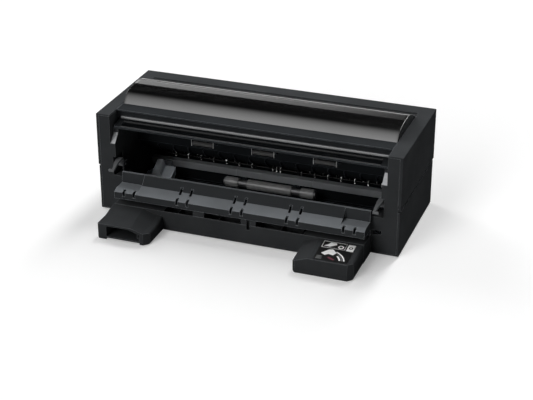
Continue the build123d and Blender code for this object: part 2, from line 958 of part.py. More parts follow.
star_centre = [(index - (star_centre_count - 1) / 2) * star_centre_pitch for index in range(star_centre_count)]


def star_wheels(depth, height, places):
    """A six-sided shaft with its star wheels."""
    with BuildPart() as wheels:
        with BuildSketch(Plane.YZ.offset(-star_end)) as bar:
            with Locations(at(depth, height)):
                RegularPolygon(star_shaft_radius, 6)
        extrude(bar.sketch, amount=2 * star_end)
        for x in places:
            extrude(star_outline(depth, height, x - star_thickness / 2), amount=star_thickness)
    return wheels


star_wheels_front = star_wheels(star_front_depth, star_height, star_bank(0) + star_centre)
star_wheels_rear = star_wheels(star_rear_depth, star_height, star_bank(star_pitch / 2))

carrier_front = star_front_depth - 4
carrier_back = star_rear_depth + 6
cheek_outline = [
    (carrier_front, carrier_height),
    (carrier_back, carrier_height),
    (star_rear_depth + 4, star_height - 3),
    (star_front_depth - 3.5, star_height - 3),
]
first_cheek = star_bank_inner - 7
cheek_places = [side * (first_cheek + index * cheek_spacing) for side in (-1, 1) for index in range(2)]
with BuildPart() as star_wheel_carrier:
    block((-span, span), (carrier_front, carrier_back), (carrier_height, carrier_height + skin))
    for x in cheek_places:
        prism(cheek_outline, x - carrier_cheek / 2, x + carrier_cheek / 2)
    star_bore = star_shaft_radius + running_clearance
    for depth in (star_front_depth, star_rear_depth):
        rod(depth, star_height, star_bore, -star_end - 1, star_end + 1, Mode.SUBTRACT)

# Cross rail in three lengths, the wall behind it and the guide that turns the paper forward

rail_back = rail_depth + rail_width
rail_outline = [
    (rail_depth, rail_bottom),
    (rail_depth, rail_top),
    (rail_back, rail_top),
    (rail_back, rail_top - 9),
    (rail_back - skin, rail_top - 9),
    (rail_back - skin, rail_top - skin),
    (rail_depth + skin, rail_top - skin),
    (rail_depth + skin, rail_bottom),
]


def rail_length(x_low, x_high):
    """One length of the rail, with its front edge rounded over."""
    with BuildPart() as rail:
        prism(rail_outline, x_low, x_high)
        front_edge = rail.edges().filter_by(Axis.X).group_by(Axis.Y)[0].sort_by(Axis.Z)[-1]
        fillet(front_edge, 2)
    return rail


rail_left = rail_length(-span, -rail_seam - rail_joint_gap / 2)
rail_centre = rail_length(-rail_seam + rail_joint_gap / 2, rail_seam - rail_joint_gap / 2)
rail_right = rail_length(rail_seam + rail_joint_gap / 2, span)

wall_front = rail_depth + skin + wall_gap
with BuildPart() as cavity_wall:
    prism(
        [
            (wall_front, rail_top - skin),
            (wall_front, floor_top + skin),
            (wall_front - wall_foot, floor_top + skin),
            (wall_front - wall_foot, floor_top),
            (wall_front + skin, floor_top),
            (wall_front + skin, rail_top - skin),
        ],
        -span,
        span,
    )

turn_height = rail_top + turn_radius
with BuildPart() as rear_paper_guide:
    block((-span, span), (rail_back + part_gap, bed_end), (rail_top - skin, rail_top))
    bead(bed_end, turn_height, turn_radius, turn_radius + skin, -90, 90, -span, span)
    turn_back = bed_end + turn_radius
    block((-span, span), (turn_back, turn_back + skin), (turn_height, turn_height + 12))
    block((-span, span), (bed_end - skin, bed_end), (floor_top, rail_top - skin))

# Free roller in front of the rail: metal tube, three sleeves and two open bearings

with BuildPart() as idle_roller_tube:
    rod(idle_depth, idle_height, idle_tube_radius, -idle_reach - 3, idle_reach + 3)
    rod(idle_depth, idle_height, idle_tube_radius - 1.5, -idle_reach - 3, idle_reach + 3, Mode.SUBTRACT)

gap_low = idle_gap_centre - idle_gap / 2
gap_high = idle_gap_centre + idle_gap / 2
with BuildPart() as idle_roller_sleeves:
    for x_low, x_high in ((-idle_reach, -gap_high), (-gap_low, gap_low), (gap_high, idle_reach)):
        rod(idle_depth, idle_height, idle_radius, x_low, x_high)
    rod(idle_depth, idle_height, idle_tube_radius, -idle_reach, idle_reach, Mode.SUBTRACT)

with BuildPart() as idle_roller_brackets:
    saddle_bore = idle_tube_radius + running_clearance
    saddle_outer = saddle_bore + idle_bracket_ring
    for side in (-1, 1):
        x_low = side * idle_gap_centre - idle_bracket_width / 2
        x_high = x_low + idle_bracket_width
        bead(idle_depth, idle_height, saddle_bore, saddle_outer, -95, 175, x_low, x_high)
        arm_start = idle_depth + saddle_bore + 1
        block((x_low, x_high), (arm_start, wall_front), (idle_height - 5, idle_height + 1))
        block((x_low, x_high), (wall_front - 3, wall_front), (floor_top + skin, idle_height - 5))

# Edge guide: a sloping paper stop with a jaw that slides on the lower edge of the rail

guide_right = guide_left - guide_length
with BuildPart() as edge_guide:
    wall_right = -guide_right - guide_plate_width
    wall_left = wall_right - guide_wall_width
    with BuildSketch(Plane.XZ.offset(-(front_y + guide_back))) as stop:
        with BuildLine():
            Line((-guide_right, guide_base_height), (-guide_right, guide_plate_height))
            Line((-guide_right, guide_plate_height), (wall_right + 1, guide_plate_height))
            Line((wall_right + 1, guide_plate_height), (wall_right - 2, guide_wall_height - 3))
            Line((wall_right - 2, guide_wall_height - 3), (wall_right - 5, guide_wall_height))
            Line((wall_right - 5, guide_wall_height), (wall_left + 3, guide_wall_height))
            Line((wall_left + 3, guide_wall_height), (wall_left, guide_wall_height - 5))
            ThreePointArc(
                (wall_left, guide_wall_height - 5),
                (wall_left - 5, guide_base_height + 10),
                (-guide_left, guide_base_height),
            )
            Line((-guide_left, guide_base_height), (-guide_right, guide_base_height))
        make_face()
    slide_vector = (0, -guide_forward, -guide_drop)
    extrude(amount=sqrt(guide_forward**2 + guide_drop**2), dir=slide_vector)
    arm_left = wall_left + 1
    arm_right = arm_left + guide_arm_length
    jaw_back = rail_depth + skin + body_clearance
    jaw_under = rail_bottom - body_clearance
    block(
        (arm_left, arm_right),
        (guide_back - 1, rail_depth - body_clearance),
        (guide_base_height, rail_bottom + guide_jaw_rise),
    )
    block(
        (arm_left, arm_right),
        (rail_depth - body_clearance - guide_jaw, jaw_back + guide_jaw),
        (jaw_under - guide_jaw, jaw_under),
    )
    block(
        (arm_left, arm_right),
        (jaw_back, jaw_back + guide_jaw),
        (jaw_under - guide_jaw, rail_bottom + guide_jaw_rise),
    )

# Front guide: hollow shelf with a sloping middle, lower ends and pairs of slots

guide_stand = base_top + part_gap
stand_back = 2.0
lower_run = [
    (shelf_front, shelf_edge_height),
    (shelf_front, shelf_edge_height - shelf_face),
    (crest_depth + 1, shelf_edge_height - shelf_face),
    (crest_depth + 1, guide_stand),
    (stand_back, guide_stand),
    (stand_back, crest_height - 7),
    (crest_depth + crest_width, crest_height),
    (crest_depth, crest_height),
]
middle_outline = lower_run + [(crease_depth, crease_height)]
strip_back = shelf_front + end_strip
end_outline = lower_run + [(end_recess_depth, end_recess_height), (strip_back, end_recess_height)]


def slot_centres(count):
    """Centres of slots that stand in pairs at an even pitch."""
    places = []
    for index in range(count):
        middle = (index - (count - 1) / 2) * slot_pitch
        places += [middle - slot_pair / 2, middle + slot_pair / 2]
    return places


with BuildPart() as front_guide:
    prism(end_outline, -shelf_reach, shelf_reach)
    prism(middle_outline, -shelf_centre_reach, shelf_centre_reach)
    hollow(end_outline, -shelf_reach + skin, shelf_reach - skin)
    hollow(middle_outline, -shelf_centre_reach + skin, shelf_centre_reach - skin)
    for x in slot_centres(5):
        block(
            (x - slot_width / 2, x + slot_width / 2),
            (shelf_front - 1, shelf_front + slot_run),
            (shelf_edge_height - slot_drop, crease_height),
            Mode.SUBTRACT,
        )
    for x in slot_centres(3):
        block(
            (x - slot_width / 2, x + slot_width / 2),
            (crease_depth - slot_run * 0.7, crease_depth + slot_run * 0.7),
            (crease_height - 5, crease_height + slot_drop),
            Mode.SUBTRACT,
        )

# Base in front of the case: a ribbed tray between the feet, closed at both ends, with two posts

tray_back = -base_back_wall
tray_floor = pad_height + skin
centre_post_x = base_slot_x
with BuildPart() as front_base:
    block((-shelf_reach, shelf_reach), (-base_reach, -part_gap), (pad_height, base_top))
    tray_front = -base_reach + skin
    block((-tray_left, tray_right), (tray_front, tray_back), (tray_floor, base_top + 1), Mode.SUBTRACT)
    for inner, outer in ((-shelf_reach + skin, -tray_left - skin), (tray_right + skin, shelf_reach - skin)):
        block((inner, outer), (tray_front, tray_back), (pad_height - 1, base_top - skin), Mode.SUBTRACT)
    for index in range(tray_rib_count):
        x = (index - (tray_rib_count - 1) / 2) * tray_rib_pitch
        block((x - 0.8, x + 0.8), (tray_front - 0.5, tray_back + 0.5), (tray_floor - 0.5, tray_rib_top))
    post_top = shelf_edge_height - shelf_face - part_gap
    for x, width in ((-left_post_x, left_post_width), (centre_post_x, centre_post_width)):
        post = (x - width / 2, x + width / 2)
        block(post, (-base_reach + 1, -base_reach + 1 + post_depth), (tray_floor - 0.5, post_top))
    block(
        (base_slot_x - base_slot_width / 2, base_slot_x + base_slot_width / 2),
        (-base_reach - 1, -base_reach + post_depth),
        (base_top - base_slot_depth, post_top + 1),
        Mode.SUBTRACT,
    )

# Feet that reach under the printer; their tops rise towards the base


def foot_body(corners, rise_start, left_cut, right_cut):
    """A foot: its front outline carried back to the base, and from rise_start also upwards."""
    start = front_y - foot_reach
    x_low = min(x for x, height in corners)
    x_high = max(x for x, height in corners)
    with BuildPart() as body:
        with BuildSketch(Plane.XZ.offset(-start)) as front:
            with BuildLine():
                Polyline(*corners, close=True)
            make_face()
            fillet(front.vertices().group_by(Axis.Z)[0], foot_round)
        extrude(front.sketch, amount=-(foot_reach - base_reach))
        with BuildSketch(Plane.XZ.offset(-(front_y - rise_start))) as rising:
            add(front.sketch.moved(Location((0, foot_reach - rise_start, 0))))
        run = rise_start - base_reach
        rise = foot_back_top - foot_top
        slope = (0, run / sqrt(run**2 + rise**2), rise / sqrt(run**2 + rise**2))
        extrude(rising.sketch, amount=sqrt(run**2 + rise**2), dir=slope)
        with BuildSketch(Plane.XY) as front_cuts:
            for x, inward, cut in ((x_low, 1, left_cut), (x_high, -1, right_cut)):
                with BuildLine():
                    Polyline(
                        (x - inward, start - 1),
                        (x + inward * (cut + 1), start - 1),
                        (x - inward, start + cut + 1),
                        close=True,
                    )
                make_face()
        extrude(front_cuts.sketch, amount=foot_back_top + 9, mode=Mode.SUBTRACT)
    return body


left_corners = [
    (-left_foot_outer, foot_base),
    (-left_foot_outer, foot_top),
    (-left_foot_ridge, foot_top),
    (-left_foot_valley, foot_low_height + 1),
    (-left_foot_inner, foot_low_height),
    (-left_foot_inner, foot_base),
]
right_corners = [
    (right_foot_inner, foot_base),
    (right_foot_inner, foot_low_height),
    (right_foot_ridge, foot_top),
    (right_foot_outer, foot_top),
    (right_foot_outer, foot_base),
]
left_foot = foot_body(left_corners, left_foot_crease, 3, 11)
right_foot = foot_body(right_corners, foot_reach - 0.5, 5, 10)

with BuildSketch(Plane.XZ.offset(-(front_y - foot_reach + pocket_depth))) as pocket:
    with BuildLine():
        Polyline(
            (-pocket_left, pocket_floor),
            (-pocket_left, pocket_roof),
            (-left_foot_ridge, pocket_roof),
            (-pocket_right, foot_low_height - skin),
            (-pocket_right, pocket_floor),
            close=True,
        )
    make_face()
    fillet(pocket.vertices(), 2)
with left_foot:
    extrude(pocket.sketch, amount=pocket_depth + 1, mode=Mode.SUBTRACT)
    pocket_back = -foot_reach + pocket_depth
    rib = (-pocket_rib_x - 0.8, -pocket_rib_x + 0.8)
    block(rib, (-foot_reach + 10, pocket_back + 1), (pocket_floor - 1, foot_low_height))
    pocket_under = pocket_floor - pocket_plate
    block(
        (-pocket_left - 1, -pocket_right + 1),
        (-foot_reach - 1, pocket_back),
        (foot_base - 1, pocket_under),
        Mode.SUBTRACT,
    )
    prism(
        [
            (-foot_reach - 1, foot_top - left_foot_bevel_drop),
            (-left_foot_crease, foot_top),
            (-left_foot_crease, foot_top + 9),
            (-foot_reach - 1, foot_top + 9),
        ],
        -half_width,
        0,
        Mode.SUBTRACT,
    )


def right_foot_height(depth):
    """Height of the right foot's rising top at a depth."""
    run = foot_reach - 0.5 - base_reach
    return foot_top + (foot_back_top - foot_top) * (depth + foot_reach - 0.5) / run


with BuildPart() as foot_label:
    prism(
        [
            (-label_front, right_foot_height(-label_front)),
            (-label_back, right_foot_height(-label_back)),
            (-label_back, right_foot_height(-label_back) + label_thickness),
            (-label_front, right_foot_height(-label_front) + label_thickness),
        ],
        label_left,
        label_right,
    )

# Rubber pads under the case and the feet

with BuildPart() as rubber_pads:
    with BuildSketch(Plane.XY):
        for side in (-1, 1):
            for depth in (pad_inset, case_depth - pad_inset):
                with Locations((side * (half_width - pad_inset), front_y + depth)):
                    Rectangle(pad_length, pad_length)
    extrude(amount=pad_height)
    with BuildSketch(Plane.XY):
        for x in (-(left_foot_outer + pocket_left) / 2, -(left_foot_inner + pocket_right) / 2):
            with Locations((x, front_y - foot_reach + foot_pad_length + 4)):
                Rectangle(foot_pad_width, foot_pad_length)
        for x in (right_foot_outer - 14, right_foot_inner + 16):
            with Locations((x, front_y - foot_reach + foot_pad_length + 4)):
                Rectangle(foot_pad_width, foot_pad_length)
    extrude(amount=foot_base)

# Docking hooks, their pins and their springs

hook_outline = [
    (hook_tip_depth, hook_tip_height - 6),
    (hook_tip_depth, hook_tip_height),
    (hook_tip_depth + 16, hook_bar_height),
    (hook_pivot_depth - 7, hook_bar_height),
    (hook_pivot_depth, hook_bar_height - 3),
    (hook_pivot_depth + 10, 104),
    (hook_pivot_depth + 12, 98),
    (hook_pivot_depth + 6, 88),
    (hook_pivot_depth - 6, 88),
    (hook_pivot_depth - 12, 95),
    (hook_tip_depth + 10, 99),
    (hook_tip_depth + 6, hook_tip_height - 6),
]
hook_window = [
    (hook_tip_depth + 4, 90),
    (hook_tip_depth + 4, hook_bar_height + 3),
    (hook_tip_depth + 17, hook_bar_height + 3),
    (hook_tip_depth + 17, hook_bar_height - 3),
    (hook_pivot_depth - 9, hook_bar_height - 3),
    (hook_pivot_depth - 9, 90),
]


def docking_hook(side):
    """A latch hook that swings up about its pin when the feeder is pushed home."""
    with BuildPart() as hook:
        ends = sorted((side * hook_inner, side * (hook_inner + hook_width)))
        prism(hook_outline, *ends)
        window_ends = sorted((side * (hook_inner + hook_web), side * (hook_inner + hook_width + 1)))
        prism(hook_window, *window_ends, Mode.SUBTRACT)
        bore = hook_pin_radius + running_clearance
        rod(hook_pivot_depth, hook_pivot_height, bore, *ends, Mode.SUBTRACT)
    return hook


left_hook = docking_hook(-1)
right_hook = docking_hook(1)

pin_inner = hook_inner - hook_side_gap - hook_cheek
pin_outer = hook_inner + hook_width + hook_spring_gap + hook_cheek
with BuildPart() as hook_pins:
    for side in (-1, 1):
        ends = sorted((side * pin_inner, side * pin_outer))
        rod(hook_pivot_depth, hook_pivot_height, hook_pin_radius, *ends)

spring_radius = hook_pin_radius + spring_wire / 2 + 0.4
spring_start = hook_inner + hook_width + spring_wire / 2 + 0.2


def hook_spring(side):
    """A torsion spring coiled round the hook's pin, with a leg at its end."""
    pivot_y, pivot_z = at(hook_pivot_depth, hook_pivot_height)
    with BuildPart() as spring:
        with BuildLine() as wire:
            coil = Helix(
                spring_pitch,
                spring_pitch * spring_turns,
                spring_radius,
                center=(side * spring_start, pivot_y, pivot_z),
                direction=(side, 0, 0),
            )
        with BuildSketch(Plane(origin=coil @ 0, z_dir=coil % 0)):
            RegularPolygon(spring_wire / 2, 4)
        sweep(path=wire.line, is_frenet=True)
    return spring


left_spring = hook_spring(-1)
right_spring = hook_spring(1)
with BuildPart() as hook_springs:
    add(left_spring.part)
    add(right_spring.part)

# Electronics: the driver board in the left side box and the dock connector at the right

board_x = -(lower_wall + skin + 6)
with BuildPart() as control_board:
    board_low = frame_base + skin + 12
    block((board_x - board_width, board_x), (60, 60 + board_depth), (board_low, board_low + board_height))
    for depth in (66, 60 + board_depth - 6):
        rib = (board_x, -(lower_wall + skin))
        block(rib, (depth - 1.5, depth + 1.5), (board_low + 2, board_low + board_height - 2))
    for index in range(3):
        chip = 72 + 24 * index
        block((board_x - board_width - 3, board_x - board_width), (chip, chip + 14), (board_low + 20, board_low + 34))

socket_x = (dock_wall + lower_wall + skin) / 2
socket_low = base_top + 1
socket_high = socket_low + connector_height
socket_end = dock_recess_depth + connector_depth
socket = (socket_x - connector_width / 2, socket_x + connector_width / 2)
with BuildPart() as dock_connector:
    block(socket, (dock_recess_depth, socket_end), (socket_low, socket_high))
    block(
        (socket[0] + connector_wall, socket[1] - connector_wall),
        (-1, socket_end - 2),
        (socket_low + connector_wall, socket_high - connector_wall),
        Mode.SUBTRACT,
    )
with right_side_frame:
    block((dock_wall - 1, lower_wall + skin), (-1, skin + 1), (socket_low, socket_high), Mode.SUBTRACT)
    block(socket, (socket_end, dock_step_depth - skin + 0.5), (socket_low, socket_high))

# Small notches beside the front pillars, above the groove
with upper_case:
    for side in (-1, 1):
        notch = sorted((side * (pillar_edge - 1), side * (pillar_edge + clip_notch_width)))
        notch_low = seam_top + clip_notch_rise
        block(notch, (-1, skin + 1), (notch_low, notch_low + clip_notch_height), Mode.SUBTRACT)

# Write every piece to its own file

pieces = {
    "upper_case": upper_case,
    "lower_case": lower_case,
    "left_side_frame": left_side_frame,
    "right_side_frame": right_side_frame,
    "front_fascia": front_fascia,
    "front_trim_bar": front_trim_bar,
    "front_ledge": front_ledge,
    "ledge_panel": ledge_panel,
    "roll_cover": roll_cover,
    "cover_hinge_pins": cover_hinge_pins,
    "chamber_front_panel": chamber_front_panel,
    "window_roller_left": window_roller_left,
    "window_roller_centre": window_roller_centre,
    "window_roller_right": window_roller_right,
    "window_roller_pins": window_roller_pins,
    "roll_trough": roll_trough,
    "drive_shaft": drive_shaft,
    "drive_sleeves": drive_sleeves,
    "shaft_bushes": shaft_bushes,
    "drive_gear": drive_gear,
    "idler_gear": idler_gear,
    "idler_stud": idler_stud,
    "motor_pinion": motor_pinion,
    "motor_body": motor_body,
    "motor_bracket": motor_bracket,
    "star_wheels_front": star_wheels_front,
    "star_wheels_rear": star_wheels_rear,
    "star_wheel_carrier": star_wheel_carrier,
    "rail_left": rail_left,
    "rail_centre": rail_centre,
    "rail_right": rail_right,
    "cavity_wall": cavity_wall,
    "rear_paper_guide": rear_paper_guide,
    "idle_roller_tube": idle_roller_tube,
    "idle_roller_sleeves": idle_roller_sleeves,
    "idle_roller_brackets": idle_roller_brackets,
    "edge_guide": edge_guide,
    "front_guide": front_guide,
    "front_base": front_base,
    "left_foot": left_foot,
    "right_foot": right_foot,
    "foot_label": foot_label,
    "rubber_pads": rubber_pads,
    "left_hook": left_hook,
    "right_hook": right_hook,
    "hook_pins": hook_pins,
    "hook_springs": hook_springs,
    "control_board": control_board,
    "dock_connector": dock_connector,
}

os.makedirs("parts", exist_ok=True)
for name, piece in pieces.items():
    piece.part.label = name
    export_step(piece.part, f"parts/{name}.step")
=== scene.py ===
"""Looks of the roll paper feeder, laid out as a Blender add-on and run as a script.

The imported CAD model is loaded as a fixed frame. Its nodes keep their shape and get finishes.
Pieces that need a smoother or finer form are worked out here and stand for their nodes.
Lengths are in metres. +X is to the right seen from the printer side, -Y is towards it, +Z is up.
"""

import json
from math import cos, pi, radians, sin

import bmesh
import bpy
import numpy as np
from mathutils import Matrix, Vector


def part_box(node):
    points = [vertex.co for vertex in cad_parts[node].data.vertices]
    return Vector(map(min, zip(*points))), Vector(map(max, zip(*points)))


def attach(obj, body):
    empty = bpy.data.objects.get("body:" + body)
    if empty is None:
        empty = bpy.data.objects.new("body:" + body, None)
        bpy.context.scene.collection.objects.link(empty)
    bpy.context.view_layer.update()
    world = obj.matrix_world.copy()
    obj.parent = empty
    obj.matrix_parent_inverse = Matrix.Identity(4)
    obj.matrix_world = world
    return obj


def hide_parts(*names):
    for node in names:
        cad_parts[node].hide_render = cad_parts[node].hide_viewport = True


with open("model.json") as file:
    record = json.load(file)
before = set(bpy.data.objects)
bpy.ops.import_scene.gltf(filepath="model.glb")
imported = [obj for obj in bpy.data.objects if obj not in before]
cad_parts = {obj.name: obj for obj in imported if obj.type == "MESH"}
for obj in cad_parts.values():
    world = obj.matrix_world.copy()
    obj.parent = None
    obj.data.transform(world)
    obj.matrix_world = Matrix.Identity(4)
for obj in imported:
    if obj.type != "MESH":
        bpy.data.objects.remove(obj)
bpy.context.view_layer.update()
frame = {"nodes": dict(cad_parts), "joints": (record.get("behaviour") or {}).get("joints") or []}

bl_info = {
    "name": "Roll paper feeder looks",
    "version": (1, 0, 0),
    "blender": (4, 5, 0),
    "location": "View3D > Sidebar > Feeder",
    "description": "Dresses the packed roll paper feeder in its finishes and fine pieces",
    "category": "Object",
}

MM = 0.001

# Above this height the lower case lies in the groove round the case, and its colour there is painted near
# black as shade
GROOVE_HEIGHT = 94.6 * MM
SATIN_GRAIN = 0.02 * MM

# The camera, worked out from points of the photograph that mirror each other
CAMERA_PLACE = np.array([0.8615, -2.3157, 1.2644])
CAMERA_TARGET = np.array([0.04451, -0.065, 0.07734])
SENSOR_WIDTH_MM = 36.0


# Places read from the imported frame


def joint_place(name):
    """The (y, z) place of a joint whose axis runs along the width."""
    for joint in frame["joints"]:
        if joint["name"] == name:
            return joint["pos_m"][1], joint["pos_m"][2]
    raise RuntimeError("no joint named " + name)


def node_box(name):
    """Lowest and highest corner of a node, as two arrays."""
    low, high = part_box(name)
    return np.array(low), np.array(high)


# Surfaces: grids of points gathered into one mesh


def points_at(x, y, z):
    """One array of points from three arrays, each widened to the same rows and columns."""
    return np.stack(np.broadcast_arrays(x, y, z), axis=-1)


def around(x, radius, angle, place):
    """Points about a line along the width: (x, y0 + r cos a, z0 + r sin a)."""
    return points_at(x, place[0] + radius * np.cos(angle), place[1] + radius * np.sin(angle))


class Surface:
    """Points and faces of one piece, gathered from grids that numpy works out."""

    def __init__(self):
        self.points = []
        self.faces = []
        self.slots = []
        self.count = 0

    def grid(self, points, closed=True, slot=0):
        """Join the neighbours of a (rows, columns, 3) array of points with four-sided faces.

        closed joins the last column to the first one too.
        """
        rows, columns = points.shape[:2]
        number = self.count + np.arange(rows * columns).reshape(rows, columns)
        if closed:
            number = np.hstack([number, number[:, :1]])
        corners = [number[:-1, :-1], number[1:, :-1], number[1:, 1:], number[:-1, 1:]]
        faces = np.stack(corners, axis=-1).reshape(-1, 4)
        self.points.append(points.reshape(-1, 3))
        self.faces += faces.tolist()
        self.slots += [slot] * len(faces)
        self.count += rows * columns

    def cap(self, ring, slot=0):
        """Close a ring of points with one face."""
        self.points.append(np.asarray(ring))
        self.faces.append(list(range(self.count, self.count + len(ring))))
        self.slots.append(slot)
        self.count += len(ring)

    def loft(self, rings, closed=True):
        """Join rings of points into a bar, with a cap on the first and on the last one."""
        self.grid(rings, closed)
        self.cap(rings[0])
        self.cap(rings[-1])

    def prism(self, outline, x_low, x_high, rows=2):
        """Carry a closed (y, z) outline between two places along the width and cap both ends."""
        self.loft(carried(outline, np.linspace(x_low, x_high, rows)))

    def roller(self, ends, radius, edge, bore, place, steps):
        """Turn a roller with rounded edges. Its bore stays open, for a shaft that fills it."""
        self.grid(turned(roller_profile(*ends, radius, edge, bore), place, steps))

    def bore(self, ends, radius, place, steps):
        """The wall of a bore, from one end to the other."""
        self.grid(turned([(end, radius) for end in ends], place, steps))

    def piece(self, name, body, finishes, sharp=35.0, weld=1e-6):
        """Make the mesh object, weld its seams, point its faces outwards and let it ride a body."""
        mesh = bpy.data.meshes.new(name)
        mesh.from_pydata(np.vstack(self.points), [], self.faces)
        mesh.polygons.foreach_set("material_index", self.slots)
        work = bmesh.new()
        work.from_mesh(mesh)
        bmesh.ops.remove_doubles(work, verts=work.verts, dist=weld)
        bmesh.ops.recalc_face_normals(work, faces=work.faces)
        work.to_mesh(mesh)
        work.free()
        mesh.shade_smooth()
        mesh.set_sharp_from_angle(angle=radians(sharp))
        for finish in finishes:
            mesh.materials.append(finish)
        made = bpy.data.objects.new(name, mesh)
        bpy.context.scene.collection.objects.link(made)
        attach(made, body)
        return made


def turned(profile, place, steps, flutes=0, flute_depth=0.0):
    """Turn a profile of (x, radius) rows about a line along the width.

    The radius is less by depth (1 + cos(flutes a)) / 2, so flutes cut even grooves along the roller.
    """
    profile = np.asarray(profile)
    angle = np.linspace(0, 2 * pi, steps, endpoint=False)
    x, radius = profile[:, :1], profile[:, 1:2]
    groove = flute_depth * (1 + np.cos(flutes * angle)) / 2 if flutes else 0 * angle
    radius = np.maximum(radius - groove * (radius > 0), 0)
    return around(x, radius, angle, place)


def roller_profile(x_low, x_high, radius, edge, bore=0.0):
    """Half outline of a roller: from the bore, over both rounded edges, back to the bore.

    Each edge is a quarter circle: x moves by edge (1 - cos t) while the radius moves by edge sin t.
    """
    turn = np.linspace(0, pi / 2, 5)
    inwards = edge * (1 - np.cos(turn))
    outwards = radius - edge + edge * np.sin(turn)
    rise = np.stack([x_low + inwards, outwards], axis=1)
    fall = np.stack([x_high - inwards, outwards], axis=1)[::-1]
    return np.vstack([[[x_low, bore]], rise, fall, [[x_high, bore]]])


def carried(outline, x_places):
    """Carry an outline of (y, z) rows along the width, with one row of points at each x."""
    outline = np.asarray(outline)
    return points_at(np.asarray(x_places)[:, None], outline[:, 0], outline[:, 1])


def rounded_outline(corners, radii, steps=5):
    """A closed outline through corners, each rounded by a quadratic arc of about its radius.

    At each corner the line leaves the corner's two sides at its radius' distance and follows
    (1-t)^2 a + 2t(1-t) corner + t^2 b between them.
    """
    corners = np.asarray(corners, float)
    before = np.roll(corners, 1, axis=0)
    after = np.roll(corners, -1, axis=0)
    t = np.linspace(0, 1, steps)[:, None]
    pieces = []
    for corner, last, following, radius in zip(corners, before, after, radii):
        start = corner + (last - corner) / np.linalg.norm(last - corner) * radius
        end = corner + (following - corner) / np.linalg.norm(following - corner) * radius
        pieces.append((1 - t) ** 2 * start + 2 * t * (1 - t) * corner + t**2 * end)
    return np.vstack(pieces)


def smooth_line(points, start_slope, end_slope, steps):
    """A smooth line through points: cubic Hermite spans over the chord length.

    Each inner tangent is the slope of the line between its two neighbours.
    """
    points = np.asarray(points, float)
    chord = np.linalg.norm(np.diff(points, axis=0), axis=1)
    place = np.concatenate([[0], np.cumsum(chord)])
    tangent = np.zeros_like(points)
    tangent[1:-1] = (points[2:] - points[:-2]) / (place[2:] - place[:-2])[:, None]
    tangent[0] = start_slope
    tangent[-1] = end_slope
    along = np.linspace(0, place[-1], steps)
    span = np.clip(np.searchsorted(place, along, side="right") - 1, 0, len(chord) - 1)
    width = chord[span][:, None]
    t = (along - place[span])[:, None] / width
    first, last = points[span], points[span + 1]
    leave, arrive = tangent[span] * width, tangent[span + 1] * width
    return (
        (2 * t**3 - 3 * t**2 + 1) * first
        + (t**3 - 2 * t**2 + t) * leave
        + (-2 * t**3 + 3 * t**2) * last
        + (t**3 - t**2) * arrive
    )


# Shader maths: sockets that take part in Python expressions


class Signal:
    """A number socket. Sums, differences, products and powers of it build Math nodes."""

    def __init__(self, finish, socket):
        self.finish = finish
        self.socket = socket

    def join(self, operation, *values):
        """One Math node on this signal and the other values."""
        node = self.finish.node("ShaderNodeMath", {"operation": operation}, dict(enumerate(values)))
        return Signal(self.finish, node.outputs[0])

    def __add__(self, other):
        return self.join("ADD", self, other)

    def __radd__(self, other):
        return self.join("ADD", other, self)

    def __sub__(self, other):
        return self.join("SUBTRACT", self, other)

    def __rsub__(self, other):
        return self.join("SUBTRACT", other, self)

    def __mul__(self, other):
        return self.join("MULTIPLY", self, other)

    def __rmul__(self, other):
        return self.join("MULTIPLY", other, self)

    def __pow__(self, other):
        return self.join("POWER", self, other)

    def most(self, other):
        """The larger of two numbers."""
        return self.join("MAXIMUM", self, other)

    def above(self, edge, width):
        """0 below edge, 1 above edge + width, smooth between."""
        ramp = {"Value": self, "From Min": edge, "From Max": edge + width}
        settings = {"interpolation_type": "SMOOTHSTEP"}
        return Signal(self.finish, self.finish.node("ShaderNodeMapRange", settings, ramp).outputs[0])

    def between(self, low, rise, high, fall):
        """1 from low + rise to high, 0 below low and above high + fall, smooth between."""
        return self.above(low, rise) * (1 - self.above(high, fall))


